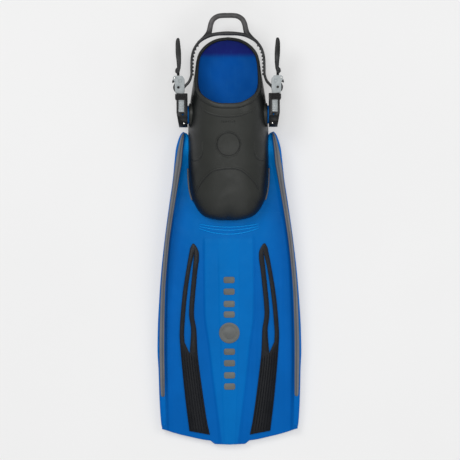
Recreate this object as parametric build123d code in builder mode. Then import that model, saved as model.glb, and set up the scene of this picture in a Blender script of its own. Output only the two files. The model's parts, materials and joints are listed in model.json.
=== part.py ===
from build123d import *
import math
import os

# Open-heel swim fin, in millimetres. +Y points to the heel, +X to the wearer's one side, +Z up.
# The origin is the middle of the bounding box in plan, on the floor that the fin rests on.
# Everything is mirrored about the YZ plane, so paired pieces are modelled at +X.

# ---- Driving dimensions -----------------------------------------------------------------------------
HALF_LENGTH = 306.0  # blade tip at -Y, top of the pull loop at +Y

# Blade
WEB_BOTTOM = 8.0
WEB_TOP = 11.0
PANEL_TOP = 12.0  # raised middle panel
PANEL_HALF = 34.0
PLATE_BOTTOM = 3.0  # foot plate under the pocket
INLAY_FLOOR = 9.4  # floor of the grooves that take the rubber legs
STRIP_HEIGHT = 2.0
INSERT_PROUD = 0.8  # how far the rubber inserts stand out of the web, above and below
ARM_RISE_Y = 88.0  # the arms rise beside the pocket from here to their tips
ARM_TOP = 29.0
TOE_RIDGES = ((3.5, 4.5), (-0.9, 5.6), (-6.4, 8.0))  # middle y and how far the ends lie towards the heel
RIDGE_HALF = 42.0

# Foot pocket
TOE_Y = 13.0
HEEL_Y = 272.5
WALL = 4.2
SOLE_BOTTOM = 1.6

# Swivel and buckle, about the post's axis
POST_Y = 162.3
POST_Z = 45.0
POST_R = 13.0
POST_GROOVE_R = 11.3
POST_IN_X = 53.0
POST_OUT_X = 66.6
BORE_GAP = 0.06
RECEIVER_IN_X = 57.4
RECEIVER_OUT_X = 72.8
EYE_R = 17.8
PIN_X = 62.4
PIN_R = 1.2
RECEIVER_TOP_Y = 192.2
TONGUE_IN_X = 61.2
TONGUE_OUT_X = 69.8
TONGUE_Y = 178.0
CHEEK_IN = 11.6  # half gap between the plug's cheek plates
CHEEK_OUT = 14.0
PLUG_END_Y = 192.4  # the tongue ends and the cheeks begin
RECESS_Z = 15.9  # receiver's surface under the button caps
GROOVE_Z = 14.7  # floor of the latch arms' grooves
ARM_MIN_X = 62.2
ARM_MAX_X = 69.8
ARM_THICK = 2.0
ARM_NOTCHES = 6
ARM_NOTCH_STEP = 2.4
ARM_END_Y = 166.0
ARM_ROOT_Y = 182.6
FIT = 0.1

# Release buttons
BUTTON_MIN_X = 58.6
BUTTON_MAX_X = 74.6
BUTTON_MIN_Y = 183.6
BUTTON_MAX_Y = 191.2
CAP_RIB_STEP = 2.2
CAP_GROOVES = 7
CAP_LOW = 18.1  # heights above the post's axis, here and below
CAP_HIGH = 20.6
STEM_X = 5.0
STEM_Y = 4.0
STEM_END = 12.5
WELL_END = 10.0
SPRING_SEAT = 7.0
SPRING_R = 1.9
SPRING_WIRE_R = 0.4
SPRING_LENGTH = STEM_END - SPRING_SEAT
SPRING_TURNS = 4

# Strap
STRAP_HALF_WIDTH = 11.0
STRAP_THICK = 3.2
ROLLER_X = 70.0
ROLLER_Y = 200.6
ROLLER_R = 4.0
ROLLER_PIN_R = 1.8
WRAP_R = ROLLER_R + 0.3 + STRAP_THICK / 2
TIE_X = 67.2
TIE_Y = 209.2
TIE_R = 1.9
PAWL_X = 75.2
PAWL_Y = 213.9
PAWL_PIN_R = 0.9
PAWL_HUB_R = 1.8
TOOTH_STEP = 5.1
TOOTH_COUNT = 10
TOOTH_WIDTH = 1.8
TOOTH_REACH = 1.5
TOOTH_ROOT = 0.5  # depth of a tooth's foot inside the strap
LOOP_HALF_WIDTH = 6.5
WRAP_IN = 200  # the strap meets and leaves the roller's wrap at these angles
WRAP_OUT = 390
STRAP_BEND = (51.5, 219)  # the strap's side leaves its straight run here for the roller
TAIL_TOP = (70.4, 221)

MARK_YS = (-71.7, -88.3, -105.8, -120.7, -173.7, -190.0, -207.2, -223.1)

os.makedirs("parts", exist_ok=True)


def save(block, label):
    """Label a finished piece and write its STEP file."""
    block.part.label = label
    export_step(block.part, f"parts/{label}.step")


def save_pair(block, label):
    """Write a piece modelled at +X as the right one and its mirror image as the left one."""
    save(block, f"{label}_right")
    with BuildPart() as twin:
        mirror(block.part, about=Plane.YZ)
    save(twin, f"{label}_left")


def side_plane(x):
    """Plane across the fin at x: its local x is +Y, its local y is +Z and it faces +X."""
    return Plane(origin=(x, 0, 0), x_dir=(0, 1, 0), z_dir=(1, 0, 0))


def level(z):
    """Plane parallel to the floor at height z."""
    return Plane.XY.offset(z)


# ---- Side rails -------------------------------------------------------------------------------------
OUTLINE = [(76, 101), (83.8, 39), (90.9, -12), (96.6, -63), (101.5, -137), (102.2, -171), (97.3, -279)]
RAIL_INNER = [(65, 110), (76, 39), (84, -12), (88.5, -63), (91, -137), (91.3, -171), (89.5, -279)]
STRIP_OUTER = [(66.8, 127), (71.6, 112), (77.4, 78), (92, -29), (97.4, -100), (99.3, -171), (98.2, -236)]
STRIP_INNER = [(62.4, 127), (63.6, 112), (69.4, 78), (86.2, -29), (91.2, -100), (92.2, -171), (91.9, -236)]


def half_outline():
    """Right half of the blade's outline from the arm's tip to the middle of the tab at its end."""
    shoulder = Spline([(67.7, 135), *OUTLINE], tangents=[(0.62, -1), (-0.08, -1)])
    corner = TangentArc([shoulder @ 1, (92, -285.6)], tangent=shoulder % 1)
    arc = ThreePointArc(corner @ 1, (60, -295.2), (28, -301))
    Polyline(arc @ 1, (21.5, -HALF_LENGTH), (0, -HALF_LENGTH))


def rail_sketch():
    """Plan of the right rail, from its rounded upper tip down to the blade's lower corner."""
    with BuildSketch() as plan:
        with BuildLine():
            outer = Spline([(67.7, 135), *OUTLINE], tangents=[(0.62, -1), (-0.08, -1)])
            inner = Spline([(60.3, 135), *RAIL_INNER])
            ThreePointArc(inner @ 0, (64, 138.7), outer @ 0)
            ThreePointArc(outer @ 1, (93.2, -283.4), inner @ 1)
        make_face()
    return plan.sketch


def draw_rail_side(rise):
    """Side view of the rail: tall by the pocket, low at the blade's tip, its top raised by rise."""
    tip = 20 + rise
    top = Spline((124, 34.5 + rise), (60, 33 + rise), (0, 29 + rise), (-150, 20 + rise), (-275, 14 + rise))
    ThreePointArc((139.5, tip), (135.8, 30 + rise), top @ 0)
    Line(top @ 1, (-290, 11 + rise))
    Line((-290, 11 + rise), (-290, 0))
    Line((-290, 0), (30, 0))
    under = Spline((30, 0), (90, 2), (139.5, 7.5), tangents=[(1, 0), (1, 0.15)])
    Line(under @ 1, (139.5, tip))


with BuildPart() as side_rail:
    with BuildSketch():
        add(rail_sketch())
    extrude(amount=60)
    with BuildSketch(side_plane(50)):
        with BuildLine():
            draw_rail_side(0)
        make_face()
    extrude(amount=60, mode=Mode.INTERSECT)

save_pair(side_rail, "side_rail")


# ---- Blade: web, arms and foot plate in one moulding, let in between the rails -------------------------
def web_sketch():
    """Whole plan of the blade's web, from the tip up to the arms' tops beside the pocket."""
    with BuildSketch() as plan:
        with BuildLine():
            half_outline()
            Line((0, -HALF_LENGTH), (0, 10))
            Line((0, 10), (28, 10))
            Spline((28, 10), (46, 40), (51.5, 62), (54.6, 100), (55, 132))
            ThreePointArc((55, 132), (62.5, 138.6), (67.7, 135))
        make_face()
        mirror(about=Plane.YZ)
    return plan.sketch


# Right edge of the pocket's plan from toe to heel.
POCKET_TOE = (37, 20)
POCKET_SIDE = [(53.6, 50), (56.8, 90), (57, 130), (56.4, 158), (53.8, 181), (50.8, 201), (45.4, 238)]
POCKET_HEEL = (31, 262.8)


def pocket_plan(inset):
    """Plan of the pocket drawn in by inset from its outer face, slantwise at the two corners."""
    slant = 0.7 * inset
    with BuildSketch() as plan:
        with BuildLine():
            toe = (POCKET_TOE[0] - slant, POCKET_TOE[1] + slant)
            heel = (POCKET_HEEL[0] - slant, POCKET_HEEL[1] - slant)
            side = Spline([toe, *((x - inset, y) for x, y in POCKET_SIDE)], tangents=[(1, 0.9), (-0.12, 1)])
            ThreePointArc((0, TOE_Y + inset), (20, TOE_Y + 1.2 + inset), toe)
            ThreePointArc(side @ 1, heel, (0, HEEL_Y - inset))
            Line((0, TOE_Y + inset), (0, HEEL_Y - inset))
        make_face()
        mirror(about=Plane.YZ)
    return plan.sketch


INSERT_OUTER = [(55, -26), (61, -59), (66.3, -93.4), (70.1, -136), (70, -164), (63.6, -235), (57.5, -286)]
INSERT_INNER = [(28.5, -291.5), (34, -263), (44.4, -185), (46.9, -143), (50.1, -118), (46.2, -70), (42.6, -40)]


def insert_sketch():
    """Plan of the right channel insert: two legs that meet at the top, one membrane below."""
    with BuildSketch() as plan:
        with BuildLine():
            outer = Spline(INSERT_OUTER)
            ThreePointArc((45.5, -25), (50.5, -19.5), outer @ 0)
            Line(outer @ 1, INSERT_INNER[0])
            inner = Spline(INSERT_INNER)
            Spline(inner @ 1, (45.5, -25), tangents=[(0, 1), (0.7, 0.7)])
        make_face()
        with BuildLine():
            left = Spline((48.9, -32), (52.1, -60), (57, -116), (54.4, -143), (56.5, -176))
            right = Spline((48.9, -32), (55, -59), (61, -103), (64.2, -143), (63.8, -160))
            Line(left @ 1, right @ 1)
        make_face(mode=Mode.SUBTRACT)
    return plan.sketch


def membrane_sketch():
    """Plan of the part of the insert that goes right through the blade."""
    with BuildSketch() as plan:
        add(insert_sketch())
        with Locations((50, -400)):
            Rectangle(120, 2 * (400 - 182), mode=Mode.INTERSECT)
    return plan.sketch


with BuildPart() as arm_riser:
    with BuildSketch(level(WEB_TOP)):
        add(web_sketch())
        with Locations((0, ARM_RISE_Y + 100)):
            Rectangle(200, 200, mode=Mode.INTERSECT)
    extrude(amount=ARM_TOP)
    with BuildSketch(side_plane(-80)):
        with BuildLine():
            slope = Spline((ARM_RISE_Y, WEB_TOP), (103, 20), (120, ARM_TOP), (139, 25), tangents=[(1, 0.2), (1, -0.4)])
            Polyline(slope @ 1, (139, WEB_TOP), slope @ 0)
        make_face()
    extrude(amount=160, mode=Mode.INTERSECT)

with BuildPart() as blade:
    with BuildSketch(level(WEB_BOTTOM)):
        add(web_sketch())
    extrude(amount=WEB_TOP - WEB_BOTTOM)
    with BuildSketch(level(PLATE_BOTTOM)):
        add(pocket_plan(WALL - 1.5))
    extrude(amount=WEB_BOTTOM - PLATE_BOTTOM)
    with BuildSketch(level(PLATE_BOTTOM)):
        with Locations((0, 18)):
            Rectangle(88, 44)
    extrude(amount=WEB_TOP - PLATE_BOTTOM)
    with BuildSketch(level(WEB_TOP - 0.5)):
        with BuildLine():
            edge = Spline((PANEL_HALF, -8), (33.6, -115), (22, -214), (10, -293))
            Line((0, -8), edge @ 0)
            Line(edge @ 1, (0, -293))
            Line((0, -293), (0, -8))
        make_face()
        mirror(about=Plane.YZ)
    extrude(amount=PANEL_TOP - WEB_TOP + 0.5)
    for ridge_y, sag in TOE_RIDGES:
        with BuildSketch(level(WEB_TOP - 0.5)):
            with BuildLine():
                ridge = ThreePointArc((-RIDGE_HALF, ridge_y + sag), (0, ridge_y), (RIDGE_HALF, ridge_y + sag))
            trace(ridge, line_width=1.6)
        extrude(amount=1.9)
    add(arm_riser.part)
    with BuildSketch(level(INLAY_FLOOR)):
        add(insert_sketch())
        mirror(about=Plane.YZ)
    extrude(amount=5, mode=Mode.SUBTRACT)
    with BuildSketch(level(WEB_BOTTOM - 1)):
        add(membrane_sketch())
        mirror(about=Plane.YZ)
    extrude(amount=5, mode=Mode.SUBTRACT)
    add(side_rail.part, mode=Mode.SUBTRACT)
    mirror(side_rail.part, about=Plane.YZ, mode=Mode.SUBTRACT)

save(blade, "blade")

# ---- Channel inserts -----------------------------------------------------------------------------
with BuildPart() as channel_insert:
    with BuildSketch(level(INLAY_FLOOR)):
        add(insert_sketch())
    extrude(amount=PANEL_TOP + INSERT_PROUD - INLAY_FLOOR)
    with BuildSketch(level(WEB_BOTTOM - INSERT_PROUD)):
        add(membrane_sketch())
    extrude(amount=WEB_TOP - WEB_BOTTOM + 2 * INSERT_PROUD + 0.4)

save_pair(channel_insert, "channel_insert")

# ---- Rail strips: soft caps along the rails' tops --------------------------------------------------
with BuildPart() as rail_strip:
    with BuildSketch():
        with BuildLine():
            strip_outer = Spline(STRIP_OUTER)
            strip_inner = Spline(STRIP_INNER)
            ThreePointArc(strip_inner @ 0, (63.8, 133), strip_outer @ 0)
            ThreePointArc(strip_outer @ 1, (95, -239), strip_inner @ 1)
        make_face()
    extrude(amount=60)
    with BuildSketch(side_plane(50)):
        with BuildLine():
            draw_rail_side(STRIP_HEIGHT)
        make_face()
    extrude(amount=60, mode=Mode.INTERSECT)
    with BuildSketch(side_plane(50)):
        with BuildLine():
            draw_rail_side(0)
        make_face()
    extrude(amount=60, mode=Mode.SUBTRACT)

save_pair(rail_strip, "rail_strip")

# ---- Swivel posts: stubs that the buckles turn on, with a groove for the retaining pin ---------------
POST_CENTRE = (POST_Y, POST_Z)

with BuildPart() as swivel_post:
    with BuildSketch(side_plane(POST_IN_X)):
        with Locations(POST_CENTRE):
            Circle(POST_R + 2.5)
    extrude(amount=2)
    with BuildSketch(side_plane(POST_IN_X)):
        with Locations(POST_CENTRE):
            Circle(POST_R)
    extrude(amount=POST_OUT_X - POST_IN_X)
    chamfer(swivel_post.edges().sort_by(Axis.X)[-1], 0.8)
    with BuildSketch(side_plane(PIN_X - PIN_R - FIT)):
        with Locations(POST_CENTRE):
            Circle(POST_R + 1)
            Circle(POST_GROOVE_R - FIT, mode=Mode.SUBTRACT)
    extrude(amount=2 * (PIN_R + FIT), mode=Mode.SUBTRACT)

save_pair(swivel_post, "swivel_post")

# ---- Foot pocket: rubber shell over the foot plate, open at the heel -----------------------------------
# Each station is (y, half width, height, height where the arch springs).
POCKET_STATIONS = [
    (12, 50, 26, 12),
    (30, 56, 42, 18),
    (60, 57.5, 58, 26),
    (100, 58.5, 76, 36),
    (140, 58.8, 91, 43),
    (172, 58, 99, 46),
    (215, 54, 99, 46),
    (274, 50, 96, 44),
]
COLLAR = [(175.5, 104), (177, 97), (181, 91), (188, 82.5), (197, 71), (206, 61), (228, 42), (252, 26), (274, 19.5)]


def draw_arch(half, height, springing):
    """Arch section: straight down to the floor, half an ellipse on top."""
    Line((-half, 0), (half, 0))
    Line((half, 0), (half, springing))
    EllipticalCenterArc((0, springing), half, height - springing, start_angle=0, arc_size=180)
    Line((-half, springing), (-half, 0))


def arch_body(inset):
    """Loft along the pocket, drawn in by inset on its sides and top."""
    with BuildPart() as body:
        for y, half, height, springing in POCKET_STATIONS:
            with BuildSketch(Plane.XZ.offset(-y)):
                with BuildLine():
                    draw_arch(half - inset, height - inset, springing)
                make_face()
        loft()
    return body.part


with BuildPart() as cavity:
    with BuildSketch(level(WEB_BOTTOM)):
        add(pocket_plan(WALL))
    extrude(amount=120)
    add(arch_body(WALL), mode=Mode.INTERSECT)

with BuildPart() as foot_pocket:
    with BuildSketch(level(WEB_BOTTOM)):
        add(pocket_plan(0))
    extrude(amount=120)
    add(arch_body(0), mode=Mode.INTERSECT)
    add(cavity.part, mode=Mode.SUBTRACT)
    with BuildSketch(side_plane(-80)):
        with BuildLine():
            collar = Spline(COLLAR)
            Polyline(collar @ 1, (290, 19.5), (290, 130), (175.5, 130), collar @ 0)
        make_face()
    extrude(amount=160, mode=Mode.SUBTRACT)
    add(blade.part, mode=Mode.SUBTRACT)
    add(swivel_post.part, mode=Mode.SUBTRACT)
    mirror(swivel_post.part, about=Plane.YZ, mode=Mode.SUBTRACT)

save(foot_pocket, "foot_pocket")

# ---- Pocket sole: rubber that wraps the foot plate's edge and underside ---------------------------------
with BuildPart() as pocket_sole:
    with BuildSketch(level(SOLE_BOTTOM)):
        add(pocket_plan(0))
    extrude(amount=WEB_BOTTOM - SOLE_BOTTOM)
    add(blade.part, mode=Mode.SUBTRACT)

save(pocket_sole, "pocket_sole")

# ---- Pocket flares: thin soft strips on the blade along the toe of the pocket ---------------------------
with BuildPart() as pocket_flare:
    with BuildSketch(level(WEB_TOP)):
        add(pocket_plan(-2.0))
        add(pocket_plan(0), mode=Mode.SUBTRACT)
        with Locations((60, 64.5)):
            Rectangle(60, 45, mode=Mode.INTERSECT)
    extrude(amount=6)

save_pair(pocket_flare, "pocket_flare")

# ---- Sole pads: tread blocks that the fin rests on -------------------------------------------------------
with BuildPart() as sole_pads:
    with BuildSketch():
        with Locations((0, 95)):
            with GridLocations(32, 14, 3, 6):
                RectangleRounded(26, 9, 3)
        with Locations((0, 216)):
            with GridLocations(26, 14, 3, 5):
                RectangleRounded(20, 9, 3)
    extrude(amount=SOLE_BOTTOM)

save(sole_pads, "sole_pads")

# ---- Plain trim down the middle of the blade ---------------------------------------------------------------
with BuildPart() as blade_badge:
    with BuildSketch(level(PANEL_TOP)):
        with Locations((0, -147)):
            Circle(14.6)
    extrude(amount=0.9)
    with BuildSketch(level(PANEL_TOP + 0.5)):
        with Locations((0, -147)):
            Circle(10.5)
            Circle(8, mode=Mode.SUBTRACT)
    extrude(amount=0.5, mode=Mode.SUBTRACT)

save(blade_badge, "blade_badge")

with BuildPart() as blade_marks:
    with BuildSketch(level(PANEL_TOP)):
        for mark_y in MARK_YS:
            with Locations((0, mark_y)):
                RectangleRounded(15.6, 8.8, 2.6)
    extrude(amount=0.6)

save(blade_marks, "blade_marks")


# ---- Buckle, right side. Heights are about the post's axis -----------------------------------------------
def buckle_level(z):
    """Plane parallel to the floor, z above the post's axis."""
    return Plane.XY.offset(POST_Z + z)


def both_ways(low, high):
    """The two (start, amount) pairs of a feature that repeats above and below the post's axis."""
    return ((low, high - low), (-high, high - low))


TONGUE_MID_X = (TONGUE_IN_X + TONGUE_OUT_X) / 2
BUTTON_MID_Y = (BUTTON_MIN_Y + BUTTON_MAX_Y) / 2
RECEIVER_MID_X = (RECEIVER_IN_X + RECEIVER_OUT_X) / 2

with BuildPart() as receiver:
    with BuildSketch(side_plane(RECEIVER_IN_X)):
        with Locations(POST_CENTRE):
            Circle(EYE_R)
        with Locations(((POST_Y + RECEIVER_TOP_Y) / 2, POST_Z)):
            Rectangle(RECEIVER_TOP_Y - POST_Y, 2 * EYE_R)
    extrude(amount=RECEIVER_OUT_X - RECEIVER_IN_X)
    chamfer(receiver.faces().sort_by(Axis.X)[-1].edges(), 1.4)
    with BuildSketch(buckle_level(-EYE_R - 1)):
        with BuildLine():
            Polyline((73.4, 168), (69.2, 144), (80, 144), (80, 168), close=True)
        make_face()
    extrude(amount=2 * EYE_R + 2, mode=Mode.SUBTRACT)
    with BuildSketch(side_plane(RECEIVER_IN_X - 1)):
        with Locations(POST_CENTRE):
            Circle(POST_R + BORE_GAP)
    extrude(amount=POST_OUT_X + FIT - RECEIVER_IN_X + 1, mode=Mode.SUBTRACT)
    with BuildSketch(buckle_level(-CHEEK_OUT - FIT)):
        with Locations((TONGUE_MID_X, TONGUE_Y - FIT + 20)):
            Rectangle(TONGUE_OUT_X - TONGUE_IN_X + 2 * FIT, 40)
    extrude(amount=2 * (CHEEK_OUT + FIT), mode=Mode.SUBTRACT)
    for start, amount in both_ways(RECESS_Z, EYE_R + 1):
        with BuildSketch(buckle_level(start)):
            with Locations((RECEIVER_MID_X, 183 + 20)):
                Rectangle(30, 40)
        extrude(amount=amount, mode=Mode.SUBTRACT)
    for start, amount in both_ways(CHEEK_OUT - 1, EYE_R + 1):
        with BuildSketch(buckle_level(start)):
            with Locations((TONGUE_MID_X, BUTTON_MID_Y)):
                Rectangle(STEM_X + 2 * FIT, STEM_Y + 2 * FIT)
        extrude(amount=amount, mode=Mode.SUBTRACT)
    for start, amount in both_ways(GROOVE_Z, EYE_R + 1):
        with BuildSketch(buckle_level(start)):
            with Locations(((ARM_MIN_X + ARM_MAX_X) / 2, (ARM_END_Y + ARM_ROOT_Y) / 2)):
                Rectangle(ARM_MAX_X - ARM_MIN_X + 0.6, ARM_ROOT_Y - ARM_END_Y + 1)
        extrude(amount=amount, mode=Mode.SUBTRACT)
    for start, amount in both_ways(CHEEK_OUT - 1, EYE_R + 1):
        with BuildSketch(buckle_level(start)):
            with Locations(((ARM_MIN_X + ARM_MAX_X) / 2, (TONGUE_Y + ARM_ROOT_Y) / 2)):
                Rectangle(ARM_MAX_X - ARM_MIN_X + 0.6, ARM_ROOT_Y - TONGUE_Y + 0.2)
        extrude(amount=amount, mode=Mode.SUBTRACT)
    with BuildSketch(buckle_level(POST_GROOVE_R)):
        with Locations((63.9, POST_Y)):
            Circle(1.4)
    extrude(amount=10, mode=Mode.SUBTRACT)
    with BuildSketch(buckle_level(-EYE_R)):
        with Locations((PIN_X, POST_Y - POST_GROOVE_R - PIN_R)):
            Circle(PIN_R)
    extrude(amount=2 * EYE_R, mode=Mode.SUBTRACT)

save_pair(receiver, "buckle_receiver")

with BuildPart() as retaining_pin:
    with BuildSketch(buckle_level(-13.2)):
        with Locations((PIN_X, POST_Y - POST_GROOVE_R - PIN_R)):
            Circle(PIN_R)
    extrude(amount=26.4)
    chamfer(retaining_pin.edges().filter_by(GeomType.CIRCLE), 0.25)

save_pair(retaining_pin, "retaining_pin")


def plug_cheek_sketch():
    """Outline of the plug's cheek plate above the receiver, with an ear for the pawl's pin."""
    with BuildSketch() as plan:
        with BuildLine():
            Polyline((62.2, 192.6), (74.2, 192.6), (75, 198), (75, 208), (77.4, 211.4), (77.4, 215.2))
            Polyline((77.4, 215.2), (75.4, 217), (64.4, 217), (61.6, 213), (61.4, 199), (62.2, 192.6))
        make_face()
        fillet(plan.vertices(), 1.0)
        with Locations((ROLLER_X, ROLLER_Y)):
            Circle(ROLLER_PIN_R, mode=Mode.SUBTRACT)
        with Locations((TIE_X, TIE_Y)):
            Circle(TIE_R, mode=Mode.SUBTRACT)
        with Locations((PAWL_X, PAWL_Y)):
            Circle(PAWL_PIN_R, mode=Mode.SUBTRACT)
    return plan.sketch


with BuildPart() as buckle_plug:
    with BuildSketch(buckle_level(-CHEEK_OUT)):
        with Locations((TONGUE_MID_X, (TONGUE_Y + PLUG_END_Y) / 2)):
            Rectangle(TONGUE_OUT_X - TONGUE_IN_X, PLUG_END_Y - TONGUE_Y)
    extrude(amount=2 * CHEEK_OUT)
    for start, amount in both_ways(CHEEK_IN, CHEEK_OUT):
        with BuildSketch(buckle_level(start)):
            add(plug_cheek_sketch())
            with Locations((TONGUE_MID_X, PLUG_END_Y)):
                Rectangle(TONGUE_OUT_X - TONGUE_IN_X - 2, 2)
        extrude(amount=amount)
    for start, amount in both_ways(GROOVE_Z + 0.2, GROOVE_Z + 0.2 + ARM_THICK):
        with BuildSketch(buckle_level(start)):
            with Locations(((ARM_MIN_X + ARM_MAX_X) / 2, (ARM_END_Y + ARM_ROOT_Y) / 2)):
                Rectangle(ARM_MAX_X - ARM_MIN_X, ARM_ROOT_Y - ARM_END_Y)
        extrude(amount=amount)
    for start, amount in both_ways(GROOVE_Z + ARM_THICK - 0.2, GROOVE_Z + ARM_THICK + 1):
        with BuildSketch(buckle_level(start)):
            with Locations(((ARM_MIN_X + ARM_MAX_X) / 2, (ARM_END_Y + ARM_ROOT_Y) / 2)):
                with GridLocations(1, ARM_NOTCH_STEP, 1, ARM_NOTCHES):
                    Rectangle(ARM_MAX_X - ARM_MIN_X + 1, 0.7)
        extrude(amount=amount, mode=Mode.SUBTRACT)
    for start, amount in both_ways(CHEEK_OUT - 0.5, GROOVE_Z + 0.5):
        with BuildSketch(buckle_level(start)):
            with Locations(((ARM_MIN_X + ARM_MAX_X) / 2, (TONGUE_Y + 0.4 + ARM_ROOT_Y) / 2)):
                Rectangle(ARM_MAX_X - ARM_MIN_X, ARM_ROOT_Y - TONGUE_Y - 0.4)
        extrude(amount=amount)
    for start, amount in both_ways(WELL_END, CHEEK_OUT + 1):
        with BuildSketch(buckle_level(start)):
            with Locations((TONGUE_MID_X, BUTTON_MID_Y)):
                Rectangle(STEM_X + 2 * FIT, STEM_Y + 2 * FIT)
        extrude(amount=amount, mode=Mode.SUBTRACT)
    for start, amount in both_ways(SPRING_SEAT, WELL_END + 1):
        with BuildSketch(buckle_level(start)):
            with Locations((TONGUE_MID_X, BUTTON_MID_Y)):
                Circle(SPRING_R + 0.2)
        extrude(amount=amount, mode=Mode.SUBTRACT)

save_pair(buckle_plug, "buckle_plug")

# ---- Release buttons: a ridged cap over the receiver and a stem into the plug's well ------------------------
with BuildPart() as release_button_upper:
    with BuildSketch(buckle_level(STEM_END)):
        with Locations((TONGUE_MID_X, BUTTON_MID_Y)):
            Rectangle(STEM_X, STEM_Y)
    extrude(amount=CAP_LOW - STEM_END)
    with BuildSketch(buckle_level(CAP_LOW)):
        with Locations(((BUTTON_MIN_X + BUTTON_MAX_X) / 2, BUTTON_MID_Y)):
            RectangleRounded(BUTTON_MAX_X - BUTTON_MIN_X, BUTTON_MAX_Y - BUTTON_MIN_Y, 1)
    extrude(amount=CAP_HIGH - CAP_LOW)
    with BuildSketch(buckle_level(CAP_HIGH - 0.6)):
        with Locations(((BUTTON_MIN_X + BUTTON_MAX_X) / 2, BUTTON_MID_Y)):
            with GridLocations(CAP_RIB_STEP, 1, CAP_GROOVES, 1):
                Rectangle(0.9, 10)
    extrude(amount=2, mode=Mode.SUBTRACT)

save_pair(release_button_upper, "release_button_upper")

with BuildPart() as release_button_lower:
    mirror(release_button_upper.part, about=buckle_level(0))

save_pair(release_button_lower, "release_button_lower")

# ---- Button springs: small coils between the well's floor and the stem ---------------------------------------
with BuildPart() as button_spring_upper:
    with BuildLine(Plane(origin=(TONGUE_MID_X, BUTTON_MID_Y, POST_Z + SPRING_SEAT + SPRING_WIRE_R + 0.05))):
        coil = Helix(
            pitch=(SPRING_LENGTH - 2 * SPRING_WIRE_R) / SPRING_TURNS,
            height=SPRING_LENGTH - 2 * SPRING_WIRE_R - 0.15,
            radius=SPRING_R - SPRING_WIRE_R,
        )
    with BuildSketch(Plane(origin=coil @ 0, z_dir=coil % 0)):
        Circle(SPRING_WIRE_R)
    sweep(path=coil)

save_pair(button_spring_upper, "button_spring_upper")

with BuildPart() as button_spring_lower:
    mirror(button_spring_upper.part, about=buckle_level(0))

save_pair(button_spring_lower, "button_spring_lower")


# ---- Roller and pins --------------------------------------------------------------------------------------------
def draw_pin(x, y, radius, half_length):
    """Plain round pin along Z with eased ends."""
    with BuildPart() as pin:
        with BuildSketch(buckle_level(-half_length)):
            with Locations((x, y)):
                Circle(radius)
        extrude(amount=2 * half_length)
        chamfer(pin.edges().filter_by(GeomType.CIRCLE), 0.2)
    return pin


with BuildPart() as roller:
    with BuildSketch(buckle_level(-CHEEK_IN + 0.2)):
        with Locations((ROLLER_X, ROLLER_Y)):
            Circle(ROLLER_R)
            Circle(ROLLER_PIN_R + BORE_GAP, mode=Mode.SUBTRACT)
    extrude(amount=2 * (CHEEK_IN - 0.2))

save_pair(roller, "roller")
save_pair(draw_pin(ROLLER_X, ROLLER_Y, ROLLER_PIN_R, CHEEK_OUT + 0.5), "roller_pin")
save_pair(draw_pin(TIE_X, TIE_Y, TIE_R, CHEEK_OUT + 0.6), "tie_pin")
save_pair(draw_pin(PAWL_X, PAWL_Y, PAWL_PIN_R, CHEEK_OUT + 0.4), "pawl_pin")

# ---- Strap pawl: toothed flap outside the strap's tail, hub split for its spring ----------------------------------
with BuildPart() as strap_pawl:
    with BuildSketch(buckle_level(-CHEEK_IN + 0.2)):
        with Locations((PAWL_X, PAWL_Y)):
            Circle(PAWL_HUB_R)
        with BuildLine():
            Polyline((73.7, 213.2), (77.1, 213.6), (79.0, 208.4), (78.4, 207.4), (76.6, 208.3))
            Polyline((76.6, 208.3), (74.9, 209.2), (74.9, 211.6), (73.7, 213.2))
        make_face()
        with Locations((PAWL_X, PAWL_Y)):
            Circle(PAWL_PIN_R + BORE_GAP, mode=Mode.SUBTRACT)
    extrude(amount=2 * (CHEEK_IN - 0.2))
    with BuildSketch(buckle_level(-3.2)):
        with Locations((PAWL_X, PAWL_Y)):
            Circle(PAWL_HUB_R + 0.3)
    extrude(amount=6.4, mode=Mode.SUBTRACT)

save_pair(strap_pawl, "strap_pawl")

with BuildPart() as pawl_spring:
    with BuildLine(Plane(origin=(PAWL_X, PAWL_Y, POST_Z - 2.6))):
        wire = Helix(pitch=1.0, height=5.2, radius=1.35)
    with BuildSketch(Plane(origin=wire @ 0, z_dir=wire % 0)):
        Circle(0.3)
    sweep(path=wire)

save_pair(pawl_spring, "pawl_spring")


# ---- Heel strap: one moulding with the pull loop, the teeth and the two pull tabs ------------------------------------
def wrap_point(degrees):
    """Point on the strap's centre line where it goes round the roller."""
    angle = math.radians(degrees)
    return (ROLLER_X + WRAP_R * math.cos(angle), ROLLER_Y + WRAP_R * math.sin(angle))


def wrap_direction(degrees):
    """Direction of the strap's centre line at that angle of the wrap."""
    angle = math.radians(degrees)
    return (-math.sin(angle), math.cos(angle))


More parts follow.
